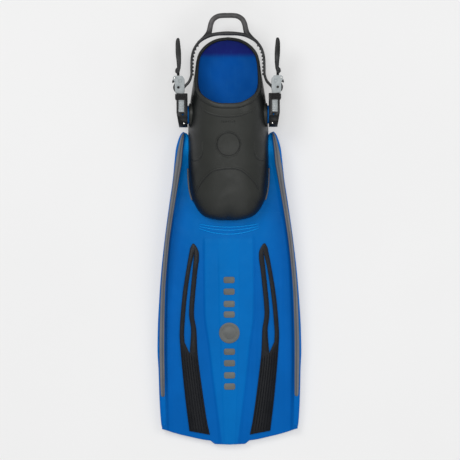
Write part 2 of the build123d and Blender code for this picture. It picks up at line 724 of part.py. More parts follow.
def strap_half_sketch():
    """Right half of the strap seen edge-on, from the heel to the end of the pull tab."""
    with BuildSketch() as plan:
        with BuildLine() as path:
            heel = Spline(
                [(0, 276.2), (28, 272.6), (40, 265.4), (47.6, 255), (50.9, 243), (51.5, 231), STRAP_BEND],
                tangents=[(1, 0), (0, -1)],
            )
            bend = Spline(heel @ 1, wrap_point(WRAP_IN), tangents=[(0, -1), wrap_direction(WRAP_IN)])
            wrap = CenterArc((ROLLER_X, ROLLER_Y), WRAP_R, WRAP_IN, WRAP_OUT - WRAP_IN)
            Spline(wrap @ 1, TAIL_TOP, tangents=[wrap_direction(WRAP_OUT), (0, 1)])
        trace(path.line, line_width=STRAP_THICK)
        with BuildLine():
            pad = Spline((0, 279.4), (24, 277), (38, 269.5), tangents=[(1, 0), (0.8, -0.7)])
            Polyline(pad @ 1, (34, 268.9), (24, 273.6), (0, 275.4), (0, 279.4))
        make_face()
        with BuildLine():
            Polyline((68.8, 220), (72, 220), (74.4, 224), (74.4, 226.4), (72.6, 228.6))
            back = Spline((72.6, 228.6), (73.4, 238), (73.8, 250), (73.0, 262))
            tip = ThreePointArc(back @ 1, (71.6, 268.4), (69.6, 270.5))
            Spline(tip @ 1, (67.6, 264), (66.5, 246), (68.8, 220))
        make_face()
        for tooth in range(TOOTH_COUNT):
            place = 1 - (TOOTH_STEP * tooth + 1) / heel.length
            spot, along = heel @ place, heel % place
            inset = (STRAP_THICK + TOOTH_REACH - TOOTH_ROOT) / 2
            turn = math.degrees(math.atan2(-along.X, along.Y))
            with Locations((spot.X + along.Y * inset, spot.Y - along.X * inset)):
                Rectangle(TOOTH_REACH + TOOTH_ROOT, TOOTH_WIDTH, rotation=turn)
    return plan.sketch


with BuildPart() as heel_strap:
    with BuildSketch(buckle_level(-STRAP_HALF_WIDTH)):
        add(strap_half_sketch())
        mirror(about=Plane.YZ)
    extrude(amount=2 * STRAP_HALF_WIDTH)
    with BuildSketch(buckle_level(-LOOP_HALF_WIDTH)):
        with BuildLine():
            Polyline((0, 277), (0, 275.6), (24, 273.6), (36, 268.6))
            grip = [(36, 268.6), (31.4, 276), (29.6, 283), (27.4, 292), (21.6, 300.6), (12, 305.2), (0, HALF_LENGTH)]
            Spline(grip, tangents=[(-0.8, 0.9), (-1, 0)])
            Line((0, HALF_LENGTH), (0, 277))
        make_face()
        mirror(about=Plane.YZ)
        with Locations((0, 289.8)):
            RectangleRounded(42, 18.6, 7, mode=Mode.SUBTRACT)
    extrude(amount=2 * LOOP_HALF_WIDTH)

save(heel_strap, "heel_strap")
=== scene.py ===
import json
import math

import bmesh
import bpy
import numpy as np
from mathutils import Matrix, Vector


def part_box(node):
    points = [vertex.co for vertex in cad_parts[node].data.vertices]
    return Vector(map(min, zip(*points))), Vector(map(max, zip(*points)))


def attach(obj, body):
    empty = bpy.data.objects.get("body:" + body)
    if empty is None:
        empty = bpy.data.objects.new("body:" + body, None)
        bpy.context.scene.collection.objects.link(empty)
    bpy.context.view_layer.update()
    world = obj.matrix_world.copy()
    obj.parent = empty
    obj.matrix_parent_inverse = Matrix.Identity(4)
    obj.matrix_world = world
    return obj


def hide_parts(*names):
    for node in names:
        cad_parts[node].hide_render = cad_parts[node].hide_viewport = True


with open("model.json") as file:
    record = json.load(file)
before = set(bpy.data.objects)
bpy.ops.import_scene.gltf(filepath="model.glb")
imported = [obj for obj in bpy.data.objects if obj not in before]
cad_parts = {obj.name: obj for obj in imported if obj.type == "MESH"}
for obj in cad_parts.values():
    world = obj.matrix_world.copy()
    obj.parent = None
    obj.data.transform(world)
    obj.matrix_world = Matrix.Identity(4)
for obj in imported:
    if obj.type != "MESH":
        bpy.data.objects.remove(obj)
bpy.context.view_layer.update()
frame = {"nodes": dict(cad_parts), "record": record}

# Lengths below are in millimetres in the CAD's own frame: +X across, +Y to the heel, +Z up.
MM = 0.001
SIDES = (("right", 1), ("left", -1))


def low(node):
    """Lowest corner of a CAD node, in millimetres."""
    return [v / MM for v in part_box(node)[0]]


def high(node):
    """Highest corner of a CAD node, in millimetres."""
    return [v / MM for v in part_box(node)[1]]


JOINTS = {joint["name"]: joint for joint in frame["record"]["behaviour"]["joints"]}
PIVOT_Y, PIVOT_Z = [v / MM for v in JOINTS["strap_swing"]["pos_m"][1:]]
ROLLER_X, ROLLER_Y = [v / MM for v in JOINTS["roller_turn_right"]["pos_m"][:2]]
STRAP_HALF = (high("heel_strap")[2] - low("heel_strap")[2]) / 2
WEB_BOTTOM = high("pocket_sole")[2]
WEB_TOP = low("pocket_flare_right")[2]
PANEL_TOP = low("blade_badge")[2]
INSERT_TOP = high("channel_insert_right")[2]
INSERT_BOTTOM = low("channel_insert_right")[2]


# ---- Curves and interpolation ----
def smooth(x, knots_x, knots_y):
    """Value at x of a smooth curve through the knots, which may be given in either order."""
    xs = np.asarray(knots_x, float)
    ys = np.asarray(knots_y, float)
    if xs[0] > xs[-1]:
        xs, ys = xs[::-1], ys[::-1]
    steps = np.diff(xs)
    slopes = np.diff(ys) / steps
    tangents = np.empty_like(ys)
    tangents[0], tangents[-1] = slopes[0], slopes[-1]
    same = slopes[:-1] * slopes[1:] > 0
    mean = 2 * slopes[:-1] * slopes[1:] / np.where(same, slopes[:-1] + slopes[1:], 1)
    tangents[1:-1] = np.where(same, mean, 0)
    x = min(max(x, xs[0]), xs[-1])
    i = int(min(max(np.searchsorted(xs, x) - 1, 0), len(steps) - 1))
    t = (x - xs[i]) / steps[i]
    h = steps[i]
    return float(
        ys[i] * (1 + 2 * t) * (1 - t) ** 2
        + tangents[i] * h * t * (1 - t) ** 2
        + ys[i + 1] * t * t * (3 - 2 * t)
        + tangents[i + 1] * h * t * t * (t - 1)
    )


def through(points, count, closed=False, even=2):
    """count points along a smooth curve through the points, even in their first `even` coordinates."""
    p = np.asarray(points, float)
    n = len(p)
    if closed:
        ring = np.vstack([p[-1], p, p[0], p[1]])
        spans = n
    else:
        ring = np.vstack([2 * p[0] - p[1], p, 2 * p[-1] - p[-2]])
        spans = n - 1
    t = np.linspace(0, 1, 24, endpoint=False)[:, None]
    parts = []
    for i in range(spans):
        a, b, c, d = ring[i : i + 4]
        parts.append(
            0.5 * (2 * b + (c - a) * t + (2 * a - 5 * b + 4 * c - d) * t**2 + (3 * b - a - 3 * c + d) * t**3)
        )
    dense = np.vstack([*parts, p[:1] if closed else p[-1:]])
    run = np.concatenate([[0], np.cumsum(np.linalg.norm(np.diff(dense[:, :even], axis=0), axis=1))])
    where = np.linspace(0, run[-1], count, endpoint=not closed)
    return np.column_stack([np.interp(where, run, dense[:, k]) for k in range(dense.shape[1])])


def step(x, start, end):
    """0 before start and 1 after end, with a smooth rise between them."""
    t = min(max((x - start) / (end - start), 0), 1)
    return t * t * (3 - 2 * t)


def x_at(y, points):
    """x at y on a smooth line through points in plan."""
    xs, ys = zip(*points)
    return smooth(y, ys, xs)


# ---- Mesh building ----
def add_object(name, data):
    """Object with that data, linked to the scene."""
    made = bpy.data.objects.new(name, data)
    bpy.context.scene.collection.objects.link(made)
    return made


def add_piece(mesh, material, replaces=(), body="fin", sharp=180):
    """Link a mesh as a piece of the object of the same name, on its body, with its finish.

    Edges sharper than sharp degrees stay sharp, and the rest is shaded smooth.
    """
    mesh.polygons.foreach_set("use_smooth", [True] * len(mesh.polygons))
    piece = add_object(mesh.name, mesh)
    piece.data.materials.append(material)
    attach(piece, body)
    if replaces:
        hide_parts(*replaces)
    if sharp < 180:
        bpy.context.view_layer.objects.active = piece
        piece.select_set(True)
        bpy.ops.object.shade_smooth_by_angle(angle=math.radians(sharp))
        piece.select_set(False)
    return piece


def clean(mesh, merge, sliver=0):
    """Merge points closer than merge, drop edges shorter than sliver and turn the faces outwards."""
    work = bmesh.new()
    work.from_mesh(mesh)
    bmesh.ops.remove_doubles(work, verts=work.verts, dist=merge * MM)
    if sliver:
        bmesh.ops.dissolve_degenerate(work, edges=work.edges, dist=sliver * MM)
    bmesh.ops.recalc_face_normals(work, faces=work.faces)
    work.to_mesh(mesh)
    work.free()
    return mesh


def mesh_from(name, points, faces):
    """Mesh from points in millimetres, with doubles merged and its faces turned outwards."""
    mesh = bpy.data.meshes.new(name)
    mesh.from_pydata([tuple(float(v) * MM for v in p) for p in points], [], faces)
    return clean(mesh, 0.01, 0.005)


def grid_faces(rows, columns, closed_rows=False, closed_columns=False):
    """Quads of a grid of points stored row by row."""
    faces = []
    for r in range(rows if closed_rows else rows - 1):
        for c in range(columns if closed_columns else columns - 1):
            r2, c2 = (r + 1) % rows, (c + 1) % columns
            corners = ((r, c), (r, c2), (r2, c2), (r2, c))
            faces.append(tuple(row * columns + column for row, column in corners))
    return faces


def loft(name, rings, closed=False, tube=True):
    """Mesh over rows of points. Each row of a tube closes on itself, and an open tube is capped."""
    columns = len(rings[0])
    faces = grid_faces(len(rings), columns, closed, tube)
    if tube and not closed:
        faces.append(tuple(range(columns))[::-1])
        faces.append(tuple((len(rings) - 1) * columns + c for c in range(columns)))
    return mesh_from(name, [p for ring in rings for p in ring], faces)


def oval(width, height, sides=12):
    """Elliptic section with those half sizes."""
    turns = [2 * math.pi * k / sides for k in range(sides)]
    return [(width * math.cos(a), height * math.sin(a)) for a in turns]


def bar(width, height, radius, steps=4):
    """Rounded rectangular section with those half sizes and corner radius."""
    section = []
    for corner, (a, b) in enumerate(((1, 1), (-1, 1), (-1, -1), (1, -1))):
        for k in range(steps + 1):
            angle = math.pi / 2 * (corner + k / steps)
            x = a * (width - radius) + radius * math.cos(angle)
            section.append((x, b * (height - radius) + radius * math.sin(angle)))
    return section


def sweep(name, path, sections, up=(0, 0, 1), closed=False, taper=0):
    """Bar along a path. A section is (across, along up) points, one for all or one for each path point.

    taper is the number of points over which both ends round off.
    """
    path = np.asarray(path, float)
    n = len(path)
    if not isinstance(sections[0][0], (tuple, list)):
        sections = [sections] * n
    ahead = np.roll(path, -1, axis=0) - np.roll(path, 1, axis=0)
    if not closed:
        ahead[0], ahead[-1] = path[1] - path[0], path[-1] - path[-2]
    ups = np.broadcast_to(np.asarray(up, float), (n, 3))
    rings = []
    for i in range(n):
        forward = ahead[i] / np.linalg.norm(ahead[i])
        side = np.cross(forward, ups[i])
        side /= np.linalg.norm(side)
        top = np.cross(side, forward)
        near = min(i, n - 1 - i)
        shrink = math.sqrt(1 - (1 - (near + 0.15) / taper) ** 2) if near < taper else 1
        rings.append([path[i] + side * a * shrink + top * b * shrink for a, b in sections[i]])
    return loft(name, rings, closed)


def slab(name, outlines, bottom, top, bevel):
    """Solid between two heights over closed outlines, inner ones being holes, with rounded edges."""
    curve = bpy.data.curves.new(name, "CURVE")
    curve.dimensions = "2D"
    curve.fill_mode = "BOTH"
    for outline in outlines:
        spline = curve.splines.new("POLY")
        spline.points.add(len(outline) - 1)
        for point, (x, y) in zip(spline.points, outline):
            point.co = (x * MM, y * MM, 0, 1)
        spline.use_cyclic_u = True
    curve.extrude = ((top - bottom) / 2 - bevel) * MM
    curve.bevel_depth = bevel * MM
    curve.bevel_resolution = 2
    curve.offset = -bevel * MM
    holder = add_object(name, curve)
    mesh = bpy.data.meshes.new_from_object(holder.evaluated_get(bpy.context.evaluated_depsgraph_get()))
    bpy.data.objects.remove(holder)
    for vertex in mesh.vertices:
        vertex.co.z += (top + bottom) / 2 * MM
    mesh.name = name
    return clean(mesh, 0.005)


def mirrored(points, side):
    """The same points on that side of the fin."""
    return [(p[0] * side, *p[1:]) for p in points]


def both_sides(points):
    """Line from its left end to its right end, out of its half from the middle to the right."""
    return mirrored(points[:0:-1], -1) + points


# ---- Materials ----
class Surface:
    """A Principled material with short helpers for its procedural nodes."""

    def __init__(self, name):
        self.material = bpy.data.materials.new(name)
        self.material.use_nodes = True
        self.tree = self.material.node_tree
        self.shader = self.tree.nodes["Principled BSDF"]
        self.place = self.node("ShaderNodeTexCoord").outputs["Object"]

    def node(self, kind, inputs=None, **settings):
        """A node with those settings and inputs."""
        made = self.tree.nodes.new(kind)
        for key, value in settings.items():
            setattr(made, key, value)
        for key, value in (inputs or {}).items():
            self.feed(value, made.inputs[key])
        return made

    def feed(self, value, target):
        """Connect an output to an input, or set the input to a plain value."""
        if isinstance(value, bpy.types.NodeSocket):
            self.tree.links.new(value, target)
        else:
            target.default_value = (*value, 1) if target.type == "RGBA" else value

    def noise(self, scale, detail=3.0, roughness=0.55, stretch=(1, 1, 1)):
        place = self.node("ShaderNodeMapping", {"Vector": self.place, "Scale": stretch}).outputs[0]
        inputs = {"Vector": place, "Scale": scale, "Detail": detail, "Roughness": roughness}
        return self.node("ShaderNodeTexNoise", inputs).outputs["Fac"]

    def ranged(self, value, low_in, high_in, low_out=0.0, high_out=1.0):
        inputs = dict(enumerate((value, low_in, high_in, low_out, high_out)))
        return self.node("ShaderNodeMapRange", inputs, interpolation_type="SMOOTHSTEP").outputs[0]

    def mix(self, factor, first, second):
        """Mix of two colours, each plain or a node's."""
        return self.node("ShaderNodeMix", {0: factor, 6: first, 7: second}, data_type="RGBA").outputs[2]

    def maths(self, operation, first, second):
        return self.node("ShaderNodeMath", {0: first, 1: second}, operation=operation).outputs[0]

    def along(self, axis, source=None):
        """Coordinate along that axis, of the place in metres or of another vector."""
        return self.node("ShaderNodeSeparateXYZ", {0: source or self.place}).outputs[axis]

    def marked(self, name):
        """Value from 0 to 1 that the mesh carries under that name."""
        return self.node("ShaderNodeAttribute", attribute_name=name).outputs["Fac"]

    def gloss(self, level, tint=(1, 1, 1)):
        """How strongly the surface reflects, and in what tint."""
        self.feed(level, self.shader.inputs["Specular IOR Level"])
        self.feed(tint, self.shader.inputs["Specular Tint"])

    def edges(self, radius):
        """1 on convex and concave edges within that radius, 0 on flat stretches."""
        rounded = self.node("ShaderNodeBevel", {"Radius": radius * MM}, samples=6).outputs[0]
        normal = self.node("ShaderNodeNewGeometry").outputs["Normal"]
        dot = self.node("ShaderNodeVectorMath", {0: rounded, 1: normal}, operation="DOT_PRODUCT")
        return self.ranged(dot.outputs["Value"], 0.995, 0.90)

    def wear(self, most, radius=0.7, scale=160, start=0.35):
        """Patchy wear along the edges, up to that much."""
        patches = self.ranged(self.noise(scale, 4), start, 0.7, 0.1, most)
        return self.maths("MULTIPLY", self.edges(radius), patches)

    def clouds(self):
        """Broad soft patches in the tone of plastic."""
        return self.ranged(self.noise(16, 4), 0.32, 0.68)

    def scuffs(self, most):
        """Faint marks drawn out along the fin, up to that much."""
        return self.ranged(self.noise(240, 5, 0.7, (1, 0.12, 1)), 0.62, 0.78, 0, most)

    def mottle(self, dark, base):
        """The two tones of rubber."""
        return self.mix(self.ranged(self.noise(22, 5, 0.6), 0.3, 0.7), dark, base)

    def dusted(self, colour, dust, most):
        """Colour with fine specks of dust in it, up to that much."""
        return self.mix(self.ranged(self.noise(900, 3, 0.7), 0.55, 0.75, 0, most), colour, dust)

    def finish_rubber(self, colour, rough, specular):
        """Connect the colour under rubber's uneven sheen and leathery grain."""
        self.gloss(specular)
        roughness = self.ranged(self.noise(48, 5), 0.3, 0.7, rough - 0.08, rough + 0.08)
        grain = (self.noise(1500, 4, 0.65), 0.5, 0.05)
        return self.finish(colour, roughness, [grain, (self.noise(90, 3), 0.25, 0.2)])

    def finish(self, colour, rough, bumps):
        """Connect colour and roughness, and chain the (height, strength, distance) bumps."""
        self.feed(colour, self.shader.inputs["Base Color"])
        self.feed(rough, self.shader.inputs["Roughness"])
        under = {}
        for height, strength, distance in bumps:
            inputs = {"Height": height, "Strength": strength, "Distance": distance * MM, **under}
            under = {"Normal": self.node("ShaderNodeBump", inputs).outputs[0]}
        self.feed(under["Normal"], self.shader.inputs["Normal"])
        return self.material


def moulded_plastic(name, base, dark, worn, rough, specular=0.5, tint=(1, 1, 1)):
    """Injection-moulded plastic: cloudy tone, fine grain, faint scuffs and paler edges."""
    s = Surface(name)
    colour = s.mix(s.clouds(), dark, base)
    scuff = s.scuffs(0.16)
    colour = s.mix(scuff, colour, worn)
    colour = s.mix(s.wear(0.55), colour, worn)
    roughness = s.maths("ADD", s.ranged(s.noise(70, 4), 0.3, 0.7, rough - 0.05, rough + 0.06), scuff)
    s.gloss(specular, tint)
    return s.finish(colour, roughness, [(s.noise(2600, 2), 0.35, 0.03), (s.noise(120, 3), 0.2, 0.12)])


def rubber(name, base, dark, worn, rough, dust=0.10, specular=0.42, edge=0.5, painted_top_light=0.0):
    """Moulded rubber: faintly mottled, with a fine leathery grain and paler edges.

    The last argument is how much paler the faces that look up are painted, as painted light from above.
    """
    s = Surface(name)
    colour = s.mottle(dark, base)
    if painted_top_light:
        # Painted light: faces that look up are painted paler, as if lit from above.
        up = s.along("Z", s.node("ShaderNodeTexCoord").outputs["Normal"])
        colour = s.mix(s.ranged(up, 0.25, 1.0, 0, painted_top_light), colour, [c * 0.62 for c in worn])
    colour = s.dusted(colour, worn, dust)
    colour = s.mix(s.wear(edge, *RUBBER_WEAR), colour, worn)
    return s.finish_rubber(colour, rough, specular)


def steel(name, base, rough, stretch):
    """Turned steel with fine marks round it."""
    s = Surface(name)
    s.feed(1.0, s.shader.inputs["Metallic"])
    marks = s.noise(900, 4, 0.6, stretch)
    colour = s.mix(s.ranged(marks, 0.3, 0.7), [c * 0.8 for c in base], base)
    colour = s.mix(s.ranged(s.noise(60, 4), 0.55, 0.75, 0, 0.35), colour, STEEL_STAIN)
    roughness = s.ranged(s.noise(300, 4, 0.6, stretch), 0.3, 0.7, rough - 0.07, rough + 0.1)
    return s.finish(colour, roughness, [(marks, 0.3, 0.02)])


RUBBER_WEAR = (0.8, 200, 0.3)  # radius, scale and start of its patches
SHEEN = (0.12, 0.55, 1.0)  # the clear blue pigment tints what the plastic reflects
WEB_BLUE = (0.0008, 0.106, 0.418)
WEB_DARK = (0.0006, 0.094, 0.378)
# Painted light: the raised panel's lighter blue stands in for how the light falls on it.
PAINTED_LIGHT_PANEL_BLUE = (0.0008, 0.14, 0.47)
PAINTED_LIGHT_PANEL_DARK = (0.0006, 0.126, 0.43)
# Painted light: a brighter blue for the arms, which lie in the pocket's shadow.
PAINTED_LIGHT_ARM_BLUE = (0.001, 0.225, 0.66)
# Painted shade: navy for the fillet that the rail shadows.
PAINTED_FILLET_SHADE = (0.0006, 0.03, 0.135)
SCUFFED_BLUE = (0.03, 0.2, 0.5)
FOOTBED_BLUE = (0.0008, 0.086, 0.43)
FOOTBED_DARK = (0.0006, 0.072, 0.37)
FOOTBED_SCUFF = (0.02, 0.2, 0.55)
# Painted shade: violet for the footbed's heel end.
FOOTBED_PAINTED_SHADE = (0.018, 0.013, 0.2)
# Painted shade for the strip's groove and edges.
STRIP_PAINTED_SHADE = (0.04, 0.043, 0.05)
# Painted highlight for the pull loop.
LOOP_PAINTED_HIGHLIGHT = (0.105, 0.101, 0.102)
STEEL_STAIN = (0.16, 0.14, 0.12)
# Fades run towards the heel, between these distances from the origin in metres.
PAINTED_LIGHT_ARM_FADE = (0.035, 0.112)
HEEL_SHADE_FADE = (0.243, 0.252)
LOOP_HIGHLIGHT_FADE = (0.272, 0.288)

# Each call gives the base, dark and worn tones, then the roughness.
BLUE = moulded_plastic(
    "blue_plastic", (0.0008, 0.128, 0.47), (0.0006, 0.104, 0.41), (0.02, 0.24, 0.56),
    0.34, specular=0.3, tint=SHEEN,
)
# Painted highlight: a brighter copy of the blue plastic for the toe ridges.
PAINTED_HIGHLIGHT_RIDGE_BLUE = moulded_plastic(
    "highlight_ridge_plastic", (0.003, 0.23, 0.66), (0.002, 0.2, 0.6), (0.06, 0.36, 0.74),
    0.26, specular=0.45, tint=SHEEN,
)
GREY_TRIM = moulded_plastic(
    "grey_trim", (0.112, 0.118, 0.112), (0.076, 0.082, 0.082), (0.22, 0.22, 0.2), 0.5
)
BLACK_PLASTIC = moulded_plastic(
    "black_plastic", (0.006, 0.007, 0.008), (0.003, 0.004, 0.005), (0.06, 0.06, 0.06), 0.34, specular=0.26
)
BUTTON_PLASTIC = moulded_plastic(
    "button_plastic", (0.008, 0.008, 0.009), (0.004, 0.004, 0.005), (0.06, 0.06, 0.06), 0.42, specular=0.3
)
GREY_PLASTIC = moulded_plastic(
    "grey_plastic", (0.36, 0.39, 0.4), (0.27, 0.3, 0.31), (0.6, 0.62, 0.62), 0.34
)
# The pocket's upward faces are painted paler: painted light from above.
POCKET_RUBBER = rubber(
    "pocket_rubber", (0.0105, 0.0125, 0.0125), (0.0055, 0.007, 0.0075), (0.06, 0.063, 0.056),
    0.44, specular=0.26, painted_top_light=0.7,
)
# Darker rubber for lines of painted shade where the pocket has creases.
PAINTED_SHADE_RUBBER = rubber("crease_shade_rubber", (0.007, 0.008, 0.008), (0.004, 0.005, 0.005), (0.03, 0.03, 0.03), 0.6)
INSERT_RUBBER = rubber(
    "insert_rubber", (0.0045, 0.0055, 0.0085), (0.003, 0.004, 0.006), (0.05, 0.05, 0.055),
    0.36, specular=0.16, edge=0.2, dust=0.05,
)
TRIM_RUBBER = rubber("trim_rubber", (0.115, 0.116, 0.12), (0.082, 0.085, 0.091), (0.22, 0.22, 0.21), 0.52)
TREAD_RUBBER = rubber("tread_rubber", (0.03, 0.031, 0.032), (0.018, 0.019, 0.02), (0.12, 0.12, 0.11), 0.6)
PIN_STEEL = steel("pin_steel", (0.62, 0.61, 0.58), 0.3, (1, 1, 0.08))
DARK_STEEL = steel("dark_steel", (0.018, 0.018, 0.02), 0.4, (1, 1, 0.08))
SPRING_STEEL = steel("spring_steel", (0.55, 0.55, 0.55), 0.28, (1, 1, 1))


def blade_material():
    """The blade's blue, with painted light that makes the raised panel and the arms lighter, and painted
    shade that darkens the fillet at the rail.
    """
    s = Surface("blade_plastic")
    cloud = s.clouds()
    colour = s.mix(cloud, WEB_DARK, WEB_BLUE)
    # Painted light: the panel is painted a lighter blue.
    colour = s.mix(s.marked("panel"), colour, s.mix(cloud, PAINTED_LIGHT_PANEL_DARK, PAINTED_LIGHT_PANEL_BLUE))
    # Painted light: the arms are painted brighter towards the heel.
    colour = s.mix(s.ranged(s.along("Y"), *PAINTED_LIGHT_ARM_FADE), colour, PAINTED_LIGHT_ARM_BLUE)
    # Painted shade: the fillet at the rail is darkened to navy.
    colour = s.mix(s.marked("shade"), colour, PAINTED_FILLET_SHADE)
    scuff = s.scuffs(0.10)
    colour = s.mix(scuff, colour, SCUFFED_BLUE)
    colour = s.mix(s.wear(0.5), colour, SCUFFED_BLUE)
    roughness = s.maths("ADD", s.ranged(s.noise(70, 4), 0.3, 0.7, 0.32, 0.42), scuff)
    s.gloss(0.22, SHEEN)
    flow = s.noise(260, 2, 0.5, (1, 0.03, 1))
    return s.finish(colour, roughness, [(s.noise(2600, 2), 0.3, 0.03), (flow, 0.15, 0.05)])


def footbed_material():
    """The blade's blue, with violet painted shade where the foot plate curves up at the heel."""
    s = Surface("footbed_plastic")
    colour = s.mix(s.clouds(), FOOTBED_DARK, FOOTBED_BLUE)
    # Painted shade: violet towards the heel.
    colour = s.mix(s.ranged(s.along("Y"), *HEEL_SHADE_FADE, 0, 0.9), colour, FOOTBED_PAINTED_SHADE)
    fine = s.noise(420, 3, 0.6, (1, 0.05, 1))
    colour = s.mix(s.ranged(fine, 0.5, 0.8, 0, 0.12), colour, FOOTBED_SCUFF)
    roughness = s.ranged(s.noise(70, 4), 0.3, 0.7, 0.38, 0.5)
    s.gloss(0.2, SHEEN)
    return s.finish(colour, roughness, [(fine, 0.3, 0.06), (s.noise(2600, 2), 0.3, 0.03)])


def strip_material():
    """Grey rubber of the rail strips, with painted shade in the groove and along the foot of each side."""
    s = Surface("strip_rubber")
    colour = s.mottle((0.130, 0.134, 0.146), (0.165, 0.167, 0.175))
    # Painted shade in the groove and along the edges.
    colour = s.mix(s.marked("crease"), colour, STRIP_PAINTED_SHADE)
    colour = s.dusted(colour, (0.24, 0.24, 0.23), 0.1)
    return s.finish_rubber(colour, 0.50, 0.3)


def strap_material():
    """Strap rubber, painted paler on the pull loop as a painted highlight."""
    s = Surface("strap_rubber")
    colour = s.mottle((0.005, 0.006, 0.007), (0.0095, 0.0105, 0.0115))
    # Painted highlight: the pull loop is painted paler.
    loop_highlight = s.ranged(s.along("Y"), *LOOP_HIGHLIGHT_FADE, 0, 0.75)
    patchy = s.ranged(s.noise(130, 4), 0.3, 0.65, 0.55, 1)
    colour = s.mix(s.maths("MULTIPLY", loop_highlight, patchy), colour, LOOP_PAINTED_HIGHLIGHT)
    colour = s.dusted(colour, (0.06, 0.06, 0.058), 0.08)
    colour = s.mix(s.wear(0.5, *RUBBER_WEAR), colour, (0.07, 0.07, 0.068))
    return s.finish_rubber(colour, 0.38, 0.26)


BLADE_BLUE = blade_material()
FOOTBED = footbed_material()
STRAP_RUBBER = strap_material()
STRIP_RUBBER = strip_material()

# ---- Blade web ----
# Half widths and heights along the blade, each list read against its own list of y.
EDGE_Y = (139, 135, 124, 113, 101, 73, 39, -12, -63, -109, -137, -171, -200, -234, -262, -279)
EDGE_X = (64, 67.7, 72, 74.6, 76, 78.8, 83.8, 90.9, 96.6, 100, 101.5, 102.2, 100.9, 100, 98.7, 97.3)
RAIL_Y = (139, 135, 112, 96, 78, 39, -12, -63, -137, -171, -279)
RAIL_X = (64, 61.2, 63.8, 65.3, 68.6, 76, 84, 88.5, 91, 91.3, 89.5)
PANEL_Y = (20, -8, -115, -165, -214, -261, -306)
PANEL_X = (36, 34, 33.6, 27.5, 22, 15.8, 9.5)
RIDGE_X = (15, 14.5, 13.6, 11.5, 10.5, 8.5, 6)
RAIL_TOP_Y = (139.5, 138.5, 135.8, 130, 124, 60, 0, -150, -275, -290)
RAIL_TOP_Z = (18, 25, 30, 33.2, 34.5, 33, 29, 20, 14, 11.5)
RAIL_FOOT_Y = (139.5, 90, 30, -290)
RAIL_FOOT_Z = (7.5, 2, 0, 0)
ARM_X = (64, 60, 57, 55, 54.6, 51.5, 46, 30)
ARM_Y = (139, 137.5, 134.5, 128, 100, 62, 40, 18)
TIP_X = (0, 28, 60, 80, 92, 98)
TIP_REACH = (18.4, 17.0, 10.8, 5.6, 1.6, 0)  # how far the end edge reaches beyond its corner's level
TAB_REACH = 4.6  # and how much further the tab in its middle does
TIP_START = -200.0
TIP_CORNER_Y = -282.2
FLARE_START = -270.0  # the web widens from here to the blade's corner
FLARE = 5.5
CORNER_X = 96.5
WEB_START = 24.0
WEB_LAP = 2.0  # how far the web runs into the rail
FILLET = 2.6  # rise of the fillet between web and rail
PANEL_SWELL = 0.1
RIDGE_DEPTH = 0.4
FLUTE_DEPTH = 0.5
RIPPLE = 0.06
RIPPLE_PITCH = 7.5
ARM_RISE = (84, 118)  # the arms leave the web's level between these y
ARM_DROP = 5.5  # and stay this far under the rail's top
ARM_ROUND = 1.6
ARM_INSET = 0.03  # keeps an arm's faces out of the plane of the web's
RAIL_TURN_Y = -276.0  # the rail rounds off from here
RAIL_TURN = 8.2


def rail_x(y):
    return smooth(y, RAIL_Y, RAIL_X)


def rail_top(y):
    return smooth(y, RAIL_TOP_Y, RAIL_TOP_Z)


def tip_drop(x):
    """How far the blade's end edge reaches beyond its corner's level at x, with the tab in the middle."""
    return smooth(abs(x), TIP_X, TIP_REACH) + TAB_REACH * (1 - step(abs(x), 20.5, 29))


def web_height(x, y):
    """Height of the web's upper face: raised panel, ridge lines, flutes and a fillet to the rail."""
    panel = smooth(y, PANEL_Y, PANEL_X)
    ridge = smooth(y, PANEL_Y, RIDGE_X)
    inner = rail_x(y)
    fade = 1 - step(y, -20, -3)
    side_fade = 1 - step(y, -80, -4)
    z = WEB_TOP + (PANEL_TOP - WEB_TOP + PANEL_SWELL) * fade * (1 - step(x, panel - 1, panel + 4))
    z -= RIDGE_DEPTH * fade * (1 - step(x, ridge - 0.6, ridge + 1.6)) * (1 - step(y, -60, -20))
    flute = step(x, panel + 2, (panel + inner) / 2) * (1 - step(x, inner - 9, inner - 4))
    ripple = math.cos(x * 2 * math.pi / RIPPLE_PITCH) * step(x, panel + 3, panel + 8)
    z += side_fade * (RIPPLE * ripple - FLUTE_DEPTH * flute)
    return z + FILLET * step(x, inner - 4.5, inner + 0.5)


def mark_panel(mesh):
    """Write how much painted light each point gets on the panel and beside the pocket, and how much painted
    shade in the fillet at the rail.
    """
    for name in ("panel", "shade"):
        mesh.attributes.new(name, "FLOAT", "POINT")
    marks, shades = mesh.attributes["panel"].data, mesh.attributes["shade"].data
    for vertex, mark, shade in zip(mesh.vertices, marks, shades):
        x, y = abs(vertex.co.x) / MM, vertex.co.y / MM
        panel = smooth(y, PANEL_Y, PANEL_X)
        ridge = smooth(y, PANEL_Y, RIDGE_X)
        foot = rail_x(y)
        # Painted light on the web near the pocket's toe and on the arms beside it.
        toe = 0.6 * step(y, -60, 5) * (1 - step(x, 40, 85)) + 0.9 * step(y, 60, 108)
        # Painted light: the panel is painted lighter, and its ridge line most.
        crest = 0.8 + 0.2 * (1 - step(x, ridge - 1, ridge + 1.5))
        mark.value = max(crest * (1 - step(x, panel - 0.4, panel + 2.0)) * (1 - step(y, -15, -7)), toe)
        # Painted shade in the fillet at the rail, along most of the blade.
        along = step(-y, -60, 10) * (1 - 0.8 * step(-y, 190, 262))
        shade.value = 0.7 * along * step(x, foot - 4.5, foot - 0.5)


